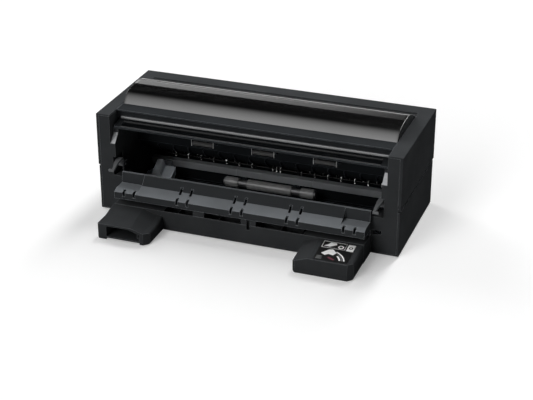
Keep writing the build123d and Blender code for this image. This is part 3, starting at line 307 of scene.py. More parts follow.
class Finish:
    """One material, built node by node."""

    def __init__(self, name, tree=None):
        if tree is None:
            self.material = bpy.data.materials.new(name)
            self.material.use_nodes = True
            tree = self.material.node_tree
        self.tree = tree
        self.tree.nodes.clear()
        self.place = self.node("ShaderNodeTexCoord", {}, {}).outputs["Object"]

    def node(self, kind, settings, inputs):
        """Add a node: its settings first, then the values or links of its sockets."""
        made = self.tree.nodes.new(kind)
        for key, value in settings.items():
            setattr(made, key, value)
        for key, value in inputs.items():
            socket = made.inputs[key]
            if isinstance(value, Signal):
                self.tree.links.new(value.socket, socket)
            elif isinstance(value, bpy.types.NodeSocket):
                self.tree.links.new(value, socket)
            else:
                socket.default_value = value
        return made

    def stretched(self, x=1.0, y=1.0, z=1.0):
        """The object coordinates, stretched along the axes."""
        return self.node("ShaderNodeMapping", {}, {"Vector": self.place, "Scale": (x, y, z)}).outputs[0]

    def noise(self, scale, detail=2.0, roughness=0.5, place=None):
        """Smooth noise from 0 to 1, at a scale per metre."""
        inputs = {"Vector": place or self.place, "Scale": scale, "Detail": detail, "Roughness": roughness}
        return Signal(self, self.node("ShaderNodeTexNoise", {}, inputs).outputs[0])

    def cells(self, scale, place=None):
        """Distance to the nearest of scattered points, at a scale per metre."""
        inputs = {"Vector": place or self.place, "Scale": scale}
        return Signal(self, self.node("ShaderNodeTexVoronoi", {}, inputs).outputs[0])

    def part(self, axis):
        """One coordinate of the object, in metres: 0 is x, 1 is y, 2 is z."""
        return Signal(self, self.node("ShaderNodeSeparateXYZ", {}, {0: self.place}).outputs[axis])

    def mix(self, amount, low, high):
        """Blend two colours by an amount."""
        node = self.node("ShaderNodeMix", {"data_type": "RGBA"}, {0: amount, 6: low, 7: high})
        return node.outputs[2]

    def facing_up(self):
        """1 where the surface faces up, 0 where it stands upright."""
        plain = self.node("ShaderNodeNewGeometry", {}, {}).outputs["Normal"]
        return Signal(self, self.node("ShaderNodeSeparateXYZ", {}, {0: plain}).outputs[2])

    def edges(self, radius):
        """Softened normals at a radius, and a mask that is 1 on sharp edges and 0 on flats."""
        soft = self.node("ShaderNodeBevel", {"samples": 6}, {"Radius": radius}).outputs[0]
        plain = self.node("ShaderNodeNewGeometry", {}, {}).outputs["Normal"]
        meet = self.node("ShaderNodeVectorMath", {"operation": "DOT_PRODUCT"}, {0: soft, 1: plain})
        return soft, (1 - Signal(self, meet.outputs["Value"])).above(0.01, 0.07)

    def bump(self, height, distance, strength=1.0, normal=None):
        """A bump from a height signal, on top of given normals."""
        inputs = {"Height": height, "Distance": distance, "Strength": strength}
        if normal is not None:
            inputs["Normal"] = normal
        return self.node("ShaderNodeBump", {}, inputs).outputs[0]

    def shade(self, **inputs):
        """The surface shader. Underscores in names stand for spaces."""
        named = {key.replace("_", " "): value for key, value in inputs.items()}
        shader = self.node("ShaderNodeBsdfPrincipled", {}, named)
        self.node("ShaderNodeOutputMaterial", {}, {"Surface": shader.outputs[0]})
        return self.material


def shade_of(grey, tint=0.0):
    """A grey with a slight blue tint, as an RGBA colour."""
    return (grey * (1 - tint), grey, grey * (1 + tint), 1.0)


# Finishes of the feeder


def spark_plastic(
    name,
    grey,
    roughness,
    grain=0.04 * MM,
    tint=0.05,
    edge_light=1.9,
    edge=0.9 * MM,
    groove_shade_above=None,
    upright=1.0,
):
    """Moulded plastic with a spark-eroded grain, and a painted highlight along its sharp edges, where the
    colour is edge_light times lighter.

    Above the groove's height, given as an argument, the colour is painted near black as groove shade.
    Upright faces get painted shade, as dark as upright times the rest, since less light falls on them.
    """
    finish = Finish(name)
    soft, edge_mask = finish.edges(edge)
    grain_height = finish.noise(1500.0, 3.0, 0.6)
    broad = finish.noise(9.0, 3.0, 0.55)
    smear = finish.noise(38.0, 4.0, 0.6, finish.stretched(0.4, 1.0, 1.0))
    base = finish.mix(broad.above(0.3, 0.4), shade_of(grey * 0.88, tint), shade_of(grey * 1.12, tint))
    # Painted shade: upright faces are darker than faces that face up, where less light falls on them
    if upright != 1.0:
        base = finish.mix(finish.facing_up().above(0.70, 0.15), shade_of(grey * upright, tint), base)
    # Painted highlight: the colour is lighter along sharp edges
    painted_light_colour = finish.mix(edge_mask * 0.9, base, shade_of(grey * edge_light, tint))
    # Painted shade: in the groove round the case the colour is near black
    if groove_shade_above is not None:
        painted_light_colour = finish.mix(finish.part(2).above(groove_shade_above, 0.1 * MM), painted_light_colour, shade_of(grey * 0.1))
    return finish.shade(
        Base_Color=painted_light_colour,
        Roughness=roughness - 0.05 + 0.06 * smear + 0.05 * grain_height,
        Normal=finish.bump(grain_height, grain, 1.0, soft),
        Specular_IOR_Level=0.0,
    )


def satin_plastic(name, grey, roughness, tint, edge_light=1.9, edge=0.9 * MM, upright=1.0):
    """Moulded plastic with a finer grain than the case has."""
    return spark_plastic(name, grey, roughness, SATIN_GRAIN, tint, edge_light, edge, upright=upright)


def polished_plastic(name, grey, roughness, tint=0.03):
    """Polished moulding: deep colour, faint wipe marks, a little dust in the gloss and a painted highlight
    along its edges.
    """
    finish = Finish(name)
    soft, edge_mask = finish.edges(0.5 * MM)
    wipe = finish.noise(60.0, 5.0, 0.65, finish.stretched(0.15, 1.0, 1.0))
    dust = finish.cells(700.0)
    speck = 1 - dust.above(0.06, 0.08)
    base = finish.mix(speck * 0.10, shade_of(grey, tint), shade_of(grey + 0.05))
    # Painted highlight: the colour is lighter along sharp edges
    painted_light_colour = finish.mix(edge_mask * 0.5, base, shade_of(grey * 2 + 0.01, tint))
    wave = finish.noise(14.0, 2.0, 0.4)
    return finish.shade(
        Base_Color=painted_light_colour,
        Roughness=roughness + 0.05 * wipe.above(0.45, 0.3) + 0.10 * speck,
        Normal=finish.bump(wave, 0.06 * MM, 0.5, soft),
        IOR=1.75,
    )


def ground_rubber(name, grey, roughness=0.75, gloss=0.35):
    """Rubber ground on a lathe: fine rings round the roller and a dusty bloom."""
    finish = Finish(name)
    rings = finish.noise(2600.0, 2.0, 0.5, finish.stretched(1.0, 0.05, 0.05))
    bloom = finish.noise(120.0, 4.0, 0.6)
    base = finish.mix(bloom.above(0.35, 0.4), shade_of(grey * 0.92), shade_of(grey * 1.1))
    return finish.shade(
        Base_Color=base,
        Roughness=roughness - 0.08 + 0.12 * bloom,
        Normal=finish.bump(rings + 0.5 * bloom, 0.03 * MM),
        Specular_IOR_Level=gloss,
    )


def turned_metal(name, colour, roughness, ring_scale=3000.0):
    """Metal turned or drawn: rings round the axis and faint stains."""
    finish = Finish(name)
    rings = finish.noise(ring_scale, 2.0, 0.6, finish.stretched(1.0, 0.04, 0.04))
    stain = finish.noise(55.0, 4.0, 0.6)
    dark = tuple(0.82 * part for part in colour) + (1.0,)
    base = finish.mix(stain.above(0.4, 0.35), tuple(colour) + (1.0,), dark)
    return finish.shade(
        Base_Color=base,
        Metallic=1.0,
        Roughness=roughness - 0.04 + 0.08 * rings + 0.06 * stain,
        Normal=finish.bump(rings, 0.004 * MM),
    )


def star_steel(name):
    """Pressed star wheels: dark and finely scratched, with bright specks where wear bares the metal."""
    finish = Finish(name)
    speck = 1 - finish.cells(480.0).above(0.46, 0.10)
    scratch = finish.noise(900.0, 3.0, 0.6)
    base = finish.mix(speck, (0.08, 0.08, 0.08, 1.0), (0.95, 0.95, 0.95, 1.0))
    return finish.shade(
        Base_Color=base,
        Metallic=speck,
        Roughness=0.25 + 0.15 * scratch,
        Normal=finish.bump(scratch, 0.04 * MM),
    )


def gear_plastic(name):
    """Natural off-white gear plastic with flow marks and a thin film of grease."""
    finish = Finish(name)
    soft, edge_mask = finish.edges(0.3 * MM)
    flow = finish.noise(90.0, 4.0, 0.6)
    grease = finish.noise(260.0, 3.0, 0.5).above(0.52, 0.12)
    base = finish.mix(flow, (0.62, 0.60, 0.54, 1.0), (0.74, 0.72, 0.66, 1.0))
    stained = finish.mix(grease * 0.35, base, (0.42, 0.36, 0.22, 1.0))
    return finish.shade(
        Base_Color=stained,
        Roughness=0.42 - 0.2 * grease + 0.05 * edge_mask,
        Normal=finish.bump(flow, 0.05 * MM, 0.6, soft),
    )


def board_finish(name):
    """Coated circuit board: fine tracks run across it, between scattered bright pads."""
    finish = Finish(name)
    tracks = finish.cells(240.0, finish.stretched(1.0, 0.25, 1.0)).above(0.42, 0.04)
    pads = 1 - finish.cells(210.0).above(0.10, 0.03)
    base = finish.mix(tracks, (0.010, 0.060, 0.030, 1.0), (0.016, 0.105, 0.050, 1.0))
    plated = finish.mix(pads, base, (0.52, 0.50, 0.44, 1.0))
    return finish.shade(
        Base_Color=plated,
        Roughness=0.35 - 0.1 * pads,
        Metallic=0.6 * pads,
        Normal=finish.bump(tracks + pads, 0.03 * MM),
    )


def label_film(name):
    """Printed film: dark gloss with the slight orange peel of a laminated sticker."""
    finish = Finish(name)
    peel = finish.noise(420.0, 3.0, 0.5)
    rub = finish.noise(70.0, 5.0, 0.7).above(0.55, 0.2)
    base = finish.mix(rub * 0.3, shade_of(0.004), shade_of(0.012))
    return finish.shade(
        Base_Color=base,
        Roughness=0.3 + 0.12 * rub,
        Normal=finish.bump(peel, 0.02 * MM),
    )


def print_ink(name, colour):
    """Ink on the sticker: a fine screen of dots, slightly uneven."""
    finish = Finish(name)
    screen = finish.cells(2600.0).above(0.25, 0.3)
    wear = finish.noise(300.0, 3.0, 0.6).above(0.6, 0.2)
    pale = tuple(colour) + (1.0,)
    dull = tuple(0.85 * part for part in colour) + (1.0,)
    base = finish.mix(screen * 0.4 + 0.4 * wear, pale, dull)
    return finish.shade(
        Base_Color=base,
        Roughness=0.42 + 0.1 * wear,
        Normal=finish.bump(screen, 0.005 * MM),
    )


def floor_finish(name, grey, dim_grey, glow):
    """Pale studio floor: it keeps the shadow and is white where the camera looks at open floor.

    It is dim_grey to the light that it throws back on the feeder's sides.
    """
    finish = Finish(name)
    rays = finish.node("ShaderNodeLightPath", {}, {})
    ways = [Signal(finish, rays.outputs[f"Is {way} Ray"]) for way in ("Camera", "Glossy", "Transmission")]
    seen = ways[0].most(ways[1]).most(ways[2])
    fibre = finish.noise(30.0, 2.0, 0.5)
    pale = finish.mix(fibre, shade_of(grey - 0.01), shade_of(grey + 0.01))
    base = finish.mix(seen, shade_of(dim_grey), pale)
    diffuse = finish.node("ShaderNodeBsdfDiffuse", {}, {"Color": base, "Roughness": 0.6})
    light = finish.node("ShaderNodeEmission", {}, {"Color": (1, 1, 1, 1), "Strength": seen * glow})
    both = finish.node("ShaderNodeAddShader", {}, {0: diffuse.outputs[0], 1: light.outputs[0]})
    finish.node("ShaderNodeOutputMaterial", {}, {"Surface": both.outputs[0]})
    return finish.material


FINISHES = {}


def finish_named(name):
    """A finish that the finishes operator has made."""
    return FINISHES[name]


# Sizes and colours that a user would change


def length(name, description, default):
    """A length that a user may set."""
    return bpy.props.FloatProperty(name=name, description=description, default=default, unit="LENGTH")


def share(name, description, default):
    """A reflectance from 0 to 1 that a user may set."""
    return bpy.props.FloatProperty(name=name, description=description, default=default, min=0.0, max=1.0)


def strength(name, description, default):
    """A strength of light that a user may set."""
    return bpy.props.FloatProperty(name=name, description=description, default=default, min=0.0)


class FeederSizes(bpy.types.PropertyGroup):
    """Sizes of the pieces that are worked out here."""

    cover_wall: length("Cover wall", "Wall of the bowed roll cover", 2.5 * MM)
    cover_end_round: length("Cover end rounding", "Rounding of the cover's end edges", 0.5 * MM)
    roller_edge: length("Roller edge", "Rounding at the ends of the free roller's sleeves", 0.9 * MM)
    flute_depth: length("Groove depth", "Depth of the grooves in the driven sleeves", 0.25 * MM)
    star_teeth: bpy.props.IntProperty(
        name="Star teeth", description="Points on each star wheel", default=12, min=6, max=24
    )
    spring_wire: length("Spring wire", "Diameter of the hook springs' wire", 0.6 * MM)
    floor_width: length("Floor width", "Side of the studio floor", 24.0)
    camera_lens: bpy.props.FloatProperty(
        name="Lens", description="Focal length of the camera in millimetres", default=95.04
    )


class FeederColours(bpy.types.PropertyGroup):
    """Greys of the mouldings, as plain reflectances, and the studio's light."""

    case_grey: share("Case", "Reflectance of the case mouldings", 0.045)
    inner_grey: share("Inner parts", "Reflectance of the mouldings inside the mouth", 0.016)
    guide_grey: share("Paper guide", "Reflectance of the sloping paper guide", 0.24)
    rail_grey: share("Rail", "Reflectance of the cross rail", 0.34)
    slider_grey: share("Edge guide", "Reflectance of the sliding edge guide", 0.75)
    ledge_grey: share("Ledge panel", "Reflectance of the glossy ledge panel", 0.004)
    hook_grey: share("Hooks", "Reflectance of the wear plates, and the base of the hooks' grey", 0.42)
    cover_grey: share("Cover", "Reflectance of the polished cover", 0.0015)
    trim_grey: share("Trim bar", "Reflectance of the polished trim bar", 0.16)
    strip_light: strength("Strip light", "Strength of the strip ahead of the feeder", 2.4)
    lamp_light: strength("Lamp", "Strength of the broad lamp on the left", 6.0)
    back_light: strength("Back lamp", "Strength of the narrow lamp high behind", 20.0)
    wall_light: strength("Wall glow", "Strength of the low glow behind", 3.0)
    fill_light: strength("Fill light", "Strength of the light from all round", 0.05)


# Operators, one for each group of pieces


class FEEDER_OT_finishes(bpy.types.Operator):
    """Make the finishes and give each carried-over node its own"""

    bl_idname = "feeder.finishes"
    bl_label = "Finishes"

    def execute(self, context):
        grey = context.scene.feeder_colours
        grain = {"grey": grey.case_grey, "roughness": 0.48, "edge_light": 4.0, "edge": 1.1 * MM}
        # A satin plastic has its grey, roughness and tint, then the strength and width of its painted edge
        # highlight
        FINISHES.update(
            case=spark_plastic("case_grain", **grain),
            # The lower case's colour is painted near black in the groove, as shade
            lower=spark_plastic("case_grain_lower_groove_shade", **grain, groove_shade_above=GROOVE_HEIGHT),
            hinge=satin_plastic("hinge_satin", grey.case_grey, 0.45, 0.03, 1.3, 0.4 * MM),
            fascia=satin_plastic("fascia_satin", grey.case_grey * 0.6, 0.4, 0.08, 6.0, 1.8 * MM),
            inner=satin_plastic("inner_satin", grey.inner_grey, 0.42, 0.12, 7.0, 1.2 * MM),
            rail=satin_plastic("rail_satin", grey.rail_grey, 0.45, 0.04),
            # The guide's upright faces get painted shade, 0.18 as dark as its faces that face up
            guide=satin_plastic("guide_satin", grey.guide_grey, 0.42, 0.06, 1.7, 1.2 * MM, upright=0.18),
            edge_guide=satin_plastic("edge_guide_satin", grey.slider_grey, 0.42, 0.06),
            hook=satin_plastic("hook_satin", grey.hook_grey * 0.4, 0.45, 0.03, 1.5),
            cover=polished_plastic("cover_gloss", grey.cover_grey, 0.16),
            ledge=polished_plastic("ledge_gloss", grey.ledge_grey, 0.16, 0.18),
            trim=polished_plastic("trim_gloss", grey.trim_grey, 0.22),
            wear_plate=polished_plastic("wear_plate_gloss", grey.hook_grey, 0.25),
            # Light rims round the windows: a painted highlight of the windows' edges
            rim=spark_plastic("window_rim_highlight_satin", 0.75, 0.4, 0.01 * MM, tint=0.0, edge_light=1.0),
            rubber=ground_rubber("roller_rubber_ground", 0.42, 0.34, 1.0),
            window_rubber=ground_rubber("window_rubber_ground", 0.10),
            pad=ground_rubber("pad_rubber_moulded", 0.012, 0.82),
            steel=turned_metal("shaft_steel", (0.30, 0.30, 0.31), 0.4),
            star_shaft=turned_metal("star_shaft_blackened", (0.05, 0.05, 0.05), 0.45),
            star=star_steel("star_bright"),
            bright=turned_metal("tube_satin", (0.32, 0.32, 0.33), 0.5, 2200.0),
            brass=turned_metal("pinion_brass", (0.62, 0.44, 0.18), 0.3),
            gear=gear_plastic("gear_natural"),
            board=board_finish("board_coated"),
            film=label_film("sticker_film"),
            white=print_ink("ink_white", (0.98, 0.98, 0.97)),
            grey=print_ink("ink_grey", (0.22, 0.23, 0.23)),
            red=print_ink("ink_red", (0.16, 0.03, 0.05)),
        )
        dressed = {
            "case": "upper_case left_side_frame right_side_frame front_base left_foot right_foot",
            "lower": "lower_case",
            "fascia": "front_fascia front_ledge",
            "inner": "chamber_front_panel roll_trough star_wheel_carrier cavity_wall rear_paper_guide "
            "idle_roller_brackets dock_connector",
            "rail": "rail_left rail_centre rail_right",
            "guide": "front_guide",
            "edge_guide": "edge_guide",
            "hook": "left_hook right_hook",
            "cover": "roll_cover",
            "ledge": "ledge_panel",
            "trim": "front_trim_bar",
            "rubber": "drive_sleeves idle_roller_sleeves",
            "window_rubber": "window_roller_left window_roller_centre window_roller_right",
            "pad": "rubber_pads",
            "steel": "cover_hinge_pins window_roller_pins drive_shaft idler_stud motor_body motor_bracket "
            "star_wheels_front star_wheels_rear hook_pins hook_springs",
            "bright": "idle_roller_tube",
            "brass": "motor_pinion",
            "gear": "shaft_bushes drive_gear idler_gear",
            "board": "control_board",
            "film": "foot_label",
        }
        left = set(frame["nodes"])
        for finish, nodes in dressed.items():
            for name in nodes.split():
                slots = frame["nodes"][name].data.materials
                slots.clear()
                slots.append(FINISHES[finish])
                left.discard(name)
        if left:
            raise RuntimeError("nodes without a finish: " + ", ".join(sorted(left)))
        return {"FINISHED"}


class FEEDER_OT_cover(bpy.types.Operator):
    """Make the bowed roll cover with its rolled hinge edge"""

    bl_idname = "feeder.cover"
    bl_label = "Roll cover"

    def execute(self, context):
        sizes = context.scene.feeder_sizes
        low, high = node_box("roll_cover")
        front, reach, crown = low[1], high[0], high[2]
        deck = node_box("upper_case")[1][2]
        bow_depth = 131.5 * MM
        rear = front + bow_depth
        pieces = (
            self.shell(sizes, (front, rear), reach, deck, crown),
            self.hinge(sizes, rear, reach, deck),
        )
        for piece in pieces:
            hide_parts("roll_cover")
        return {"FINISHED"}

    def shell(self, sizes, ends, reach, deck, crown):
        """The bow with its end walls, its inner side and the rim between the two.

        Towards each end the line shrinks about its middle by round (1 - sin t), while x moves
        by round (1 - cos t), so the end edges are rounded.
        """
        front, rear = ends
        rise = crown - deck
        edge_drop, end_margin = 2.2 * MM, 6 * MM
        edge = deck - edge_drop
        points = [
            (front, edge),
            (front + 15 * MM, deck + 0.67 * rise),
            (front + 38 * MM, deck + 0.93 * rise),
            (front + 75 * MM, crown),
            (rear - 28 * MM, deck + 0.62 * rise),
            (rear, deck),
        ]
        line = smooth_line(points, (0.5, 0.87), (0.9, -0.44), 90)
        line[:, 1] = np.minimum(line[:, 1], crown)
        line = np.vstack([line, [(rear, edge)]])
        turn = np.linspace(0, pi / 2, 7)
        sideways = sizes.cover_end_round * (1 - np.cos(turn))
        depth = sizes.cover_end_round * (1 - np.sin(turn))
        level = np.linspace(end_margin - reach, reach - end_margin, 9)
        x_places = np.concatenate([sideways - reach, level, reach - sideways[::-1]])
        inset = np.concatenate([depth, 0 * level, depth[::-1]])
        middle = np.array([(front + rear) / 2, edge])
        away = line - middle
        shrink = 1 - inset[:, None] / np.linalg.norm(away, axis=1)
        height = np.maximum(middle[1] + away[:, 1] * shrink, edge)
        outer = points_at(x_places[:, None], middle[0] + away[:, 0] * shrink, height)
        most = reach - sizes.cover_wall
        within = self.inner_line(line, sizes.cover_wall, ends, edge)
        inner = carried(within, np.clip(x_places, -most, most))
        shell = Surface()
        shell.loft(outer, closed=False)
        shell.loft(inner, closed=False)
        rims = [np.concatenate([rows[:, 0], rows[::-1, -1]]) for rows in (outer, inner)]
        shell.grid(np.stack(rims))
        return shell.piece("cover_shell", "cover", [finish_named("cover")], 50.0)

    def inner_line(self, line, wall, ends, edge):
        """The bow's inner side: each point moves inwards by the wall, square to the line.

        It stays a wall's width inside the front and rear edges, and no lower than the edge.
        """
        bow = line[:-1]
        slope = np.gradient(bow, axis=0)
        slope = slope / np.linalg.norm(slope, axis=1, keepdims=True)
        inner = bow - wall * np.stack([-slope[:, 1], slope[:, 0]], axis=1)
        inner = np.vstack([inner, [(ends[1] - wall, edge)]])
        inner[:, 0] = np.clip(inner[:, 0], ends[0] + wall, ends[1] - wall)
        inner[:, 1] = np.maximum(inner[:, 1], edge)
        return inner

    def hinge(self, sizes, rear, reach, deck):
        """The rolled hinge edge, the flange that joins it to the bow, and a knuckle at each end."""
        pivot = joint_place("cover_hinge")
        wall = sizes.cover_wall
        knuckle, knuckle_edge, knuckle_length = 7.0 * MM, 0.4 * MM, 14 * MM
        pin_bore, lap = 3.05 * MM, 2.4 * MM
        sweep = np.radians(np.linspace(135, -45, 25))
        outwards = np.stack([np.cos(sweep), np.sin(sweep)], axis=1)
        curl = np.vstack([pivot + knuckle * outwards, (pivot + (knuckle - wall) * outwards)[::-1]])
        front = rear - lap
        flange = [(front, deck - wall), (front, deck), (pivot[0], deck), (pivot[0], deck - wall)]
        hinge = Surface()
        hinge.prism(curl, -reach, reach)
        hinge.prism(flange, -reach, reach)
        for side in (-1, 1):
            ends = sorted((side * reach, side * (reach - knuckle_length)))
            profile = roller_profile(*ends, knuckle, knuckle_edge, pin_bore)
            hinge.grid(turned(profile, pivot, 48), closed=False)
            hinge.bore(ends, pin_bore, pivot, 48)
        return hinge.piece("cover_hinge_edge", "cover", [finish_named("hinge")])


class FEEDER_OT_trim(bpy.types.Operator):
    """Make the polished trim bar above the mouth"""

    bl_idname = "feeder.trim"
    bl_label = "Trim bar"

    def execute(self, context):
        low, high = node_box("front_trim_bar")
        corners = [(low[1], low[2]), (low[1], high[2]), (high[1], high[2]), (high[1], low[2])]
        lower_front, upper_front, back = 1.5 * MM, 1.8 * MM, 0.1 * MM
        outline = rounded_outline(corners, [lower_front, upper_front, back, back], 7)
        bar = Surface()
        bar.prism(outline, low[0], high[0], 24)
        piece = bar.piece("trim_bar_polished", "case", [finish_named("trim")])
        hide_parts("front_trim_bar")
        return {"FINISHED"}


class FEEDER_OT_rollers(bpy.types.Operator):
    """Make the rubber rollers and the bright tube with rounded, ground ends"""

    bl_idname = "feeder.rollers"
    bl_label = "Rollers"

    def execute(self, context):
        sizes = context.scene.feeder_sizes
        self.free_roller(sizes.roller_edge)
        for side, letter in (("left", "a"), ("centre", "b"), ("right", "c")):
            self.window_roller("window_roller_" + side, "window_roller_" + letter, side)
        self.driven_sleeves(sizes.flute_depth)
        return {"FINISHED"}

    def free_roller(self, sleeve_edge):
        """The bright tube and its three sleeves, with bare tube in the gaps between them."""
        tube_wall, tube_edge = 1.5 * MM, 0.5 * MM
        low, high = node_box("idle_roller_tube")
        place = joint_place("idle_roller_spin")
        ends, radius = (low[0], high[0]), (high[2] - low[2]) / 2
        tube = Surface()
        tube.roller(ends, radius, tube_edge, radius - tube_wall, place, 72)
        tube.bore(ends, radius - tube_wall, place, 72)
        piece = tube.piece("free_roller_tube", "idle_roller", [finish_named("bright")])
        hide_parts("idle_roller_tube")

        low, high = node_box("idle_roller_sleeves")
        gap_start, gap_end = 47.0 * MM, 66.0 * MM
        sleeves = Surface()
        for ends in ((low[0], -gap_end), (-gap_start, gap_start), (gap_end, high[0])):
            sleeves.roller(ends, (high[2] - low[2]) / 2, sleeve_edge, radius, place, 96)
        piece = sleeves.piece("free_roller_sleeves", "idle_roller", [finish_named("rubber")])
        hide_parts("idle_roller_sleeves")

    def window_roller(self, node, body, side):
        """One small roller in its window, bored for its pin."""
        pin_bore, edge = 1.55 * MM, 0.6 * MM
        low, high = node_box(node)
        place = joint_place(node + "_spin")
        ends = (low[0], high[0])
        roller = Surface()
        roller.roller(ends, (high[2] - low[2]) / 2, edge, pin_bore, place, 48)
        roller.bore(ends, pin_bore, place, 48)
        piece = roller.piece("window_roller_ground_" + side, body, [finish_named("window_rubber")])
        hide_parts(node)

    def driven_sleeves(self, flute_depth):
        """Four grooved sleeves at an even pitch on the driven shaft."""
        count, long, pitch = 4, 40 * MM, 120 * MM
        shaft_radius, edge, flutes = 3.0 * MM, 0.7 * MM, 30
        low, high = node_box("drive_sleeves")
        place = joint_place("drive_roller_spin")
        driven = Surface()
        for index in range(count):
            centre = (index - (count - 1) / 2) * pitch
            ends = centre - long / 2, centre + long / 2
            profile = roller_profile(*ends, (high[2] - low[2]) / 2, edge, shaft_radius)
            driven.grid(turned(profile, place, 180, flutes, flute_depth))
        piece = driven.piece("driven_sleeves_grooved", "drive_roller", [finish_named("rubber")], 50.0)
        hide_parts("drive_sleeves")


class FEEDER_OT_star_wheels(bpy.types.Operator):
    """Make the rows of thin star wheels on their shafts"""

    bl_idname = "feeder.star_wheels"
    bl_label = "Star wheels"

    def execute(self, context):
        teeth = context.scene.feeder_sizes.star_teeth
        pitch, inner, count, middle_pitch = 28 * MM, 53 * MM, 7, 8 * MM
        shaft_radius, hub_radius, half_hub = 1.35 * MM, 2.6 * MM, 1.6 * MM
        hub_edge, hub_bore = 0.3 * MM, 1.3 * MM
        bank = inner + pitch * np.arange(count)
        rows = {
            "front": np.concatenate([-bank, bank, middle_pitch * np.arange(-1, 2)]),
            "rear": np.concatenate([-bank - pitch / 2, bank + pitch / 2]),
        }
        for row, centres in rows.items():
            node = "star_wheels_" + row
            low, high = node_box(node)
            place = joint_place(row + "_star_spin")
            wheels = Surface()
            shaft = [(low[0], 0.0), (low[0], shaft_radius), (high[0], shaft_radius), (high[0], 0.0)]
            wheels.grid(turned(shaft, place, 24))
            for x in centres:
                self.star(wheels, x, teeth, (high[2] - low[2]) / 2, place)
                hub_ends = x - half_hub, x + half_hub
                wheels.roller(hub_ends, hub_radius, hub_edge, hub_bore, place, 20)
            finishes = [finish_named("star_shaft"), finish_named("star")]
            piece = wheels.piece("star_row_" + row, row + "_stars", finishes)
            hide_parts(node)
        return {"FINISHED"}

    def star(self, wheels, x, teeth, tip, place):
        """One thin wheel with a dark disc and a bright toothed rim.

        With p the part of a tooth from 0 to 1, the rim's radius is root + (tip - root) (1 - p)^1.5,
        so each tooth rises at once and falls in a hollow curve. The bright rim is its outer fifth.
        """
        root, hub_radius = 4.1 * MM, 2.4 * MM
        half_rim, half_disc = 0.6 * MM, 0.5 * MM
        steps = np.array([0.0, 0.25, 0.5, 0.75, 0.97])
        part = np.tile(steps, teeth)
        angle = (np.repeat(np.arange(teeth), len(steps)) + part) * 2 * pi / teeth
        rim = root + (tip - root) * (1 - part) ** 1.5
        hub, inside = np.full_like(rim, hub_radius), rim * 0.8
        disc_low = [(-half_disc, hub), (-half_rim, inside)]
        edge = [(-half_rim, inside), (-half_rim, rim), (half_rim, rim), (half_rim, inside)]
        disc_high = [(half_rim, inside), (half_disc, hub)]
        for slot, rings in ((0, disc_low), (1, edge), (0, disc_high)):
            rows = [around(x + offset, radius, angle, place) for offset, radius in rings]
            wheels.grid(np.stack(rows), slot=slot)


class FEEDER_OT_hooks(bpy.types.Operator):
    """Make the docking hooks: a tip plate, a slender rising arm and an eye round the pin"""

    bl_idname = "feeder.hooks"
    bl_label = "Docking hooks"

    def execute(self, context):
        """A four-sided arm between the tip plate and the pin.

        With t from 0 at the tip to 1 at the pin, the arm's top rises as sin(1.35 t pi / 2) and is
        level past the sine's peak. Its underside leaves the plate by t = 1/4, and it is at full
        width from t = 1/1.6 on.
        """
        under, top, lip = 99.0 * MM, 103.2 * MM, 0.2 * MM
        tip_slope, tip_length = 1.0 * MM, 3.6 * MM
        arm_depth, tip_width, root_width = 4.6 * MM, 4.0 * MM, 10.0 * MM
        eye_radius, eye_edge, pin_bore = 6.0 * MM, 0.4 * MM, 2.55 * MM
        for side, letter in ((-1, "left"), (1, "right")):
            node = letter + "_hook"
            low, high = node_box(node)
            place = joint_place(node + "_swing")
            inner, outer = sorted((low[0], high[0]), key=abs)
            hook = Surface()
            tip, arm_start, back = low[1], low[1] + 2.0 * MM, place[0] - 2.0 * MM
            plate = [
                (tip, under, top),
                (tip + tip_slope, under, top + lip),
                (tip + tip_length, under, top + lip),
            ]
            self.bar(hook, (inner, outer), plate)
            arm = np.linspace(0, 1, 12)
            depth = arm_start + (back - arm_start) * arm
            rise = top + (high[2] - top) * np.sin(np.minimum(arm * 1.35, 1.0) * pi / 2)
            hang = under + (rise - under - arm_depth) * np.minimum(arm * 4, 1.0)
            width = side * (tip_width + (root_width - tip_width) * np.minimum(arm * 1.6, 1.0))
            self.bar(hook, (inner, inner + width), list(zip(depth, hang, rise)))
            hook.roller(sorted((inner, outer)), eye_radius, eye_edge, pin_bore, place, 40)
            neck = [
                (place[0] - 3 * MM, place[1] + 2 * MM, high[2] - 0.3 * MM),
                (place[0] + 3 * MM, place[1] + 3 * MM, place[1] + 8 * MM),
            ]
            self.bar(hook, (inner, inner + side * root_width), neck)
            piece = hook.piece(node + "_formed", "latch_" + letter, [finish_named("hook")])
            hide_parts(node)
        return {"FINISHED"}

    def bar(self, hook, across, sections):
        """A bar of four-sided sections: each is (depth, underside, top) between two places across."""
        depth, under, top = np.array(sections).T
        near, far, _ = np.broadcast_arrays(*across, depth)
        corners = ((near, under), (far, under), (far, top), (near, top))
        hook.loft(np.stack([points_at(x, depth, z) for x, z in corners], axis=1))


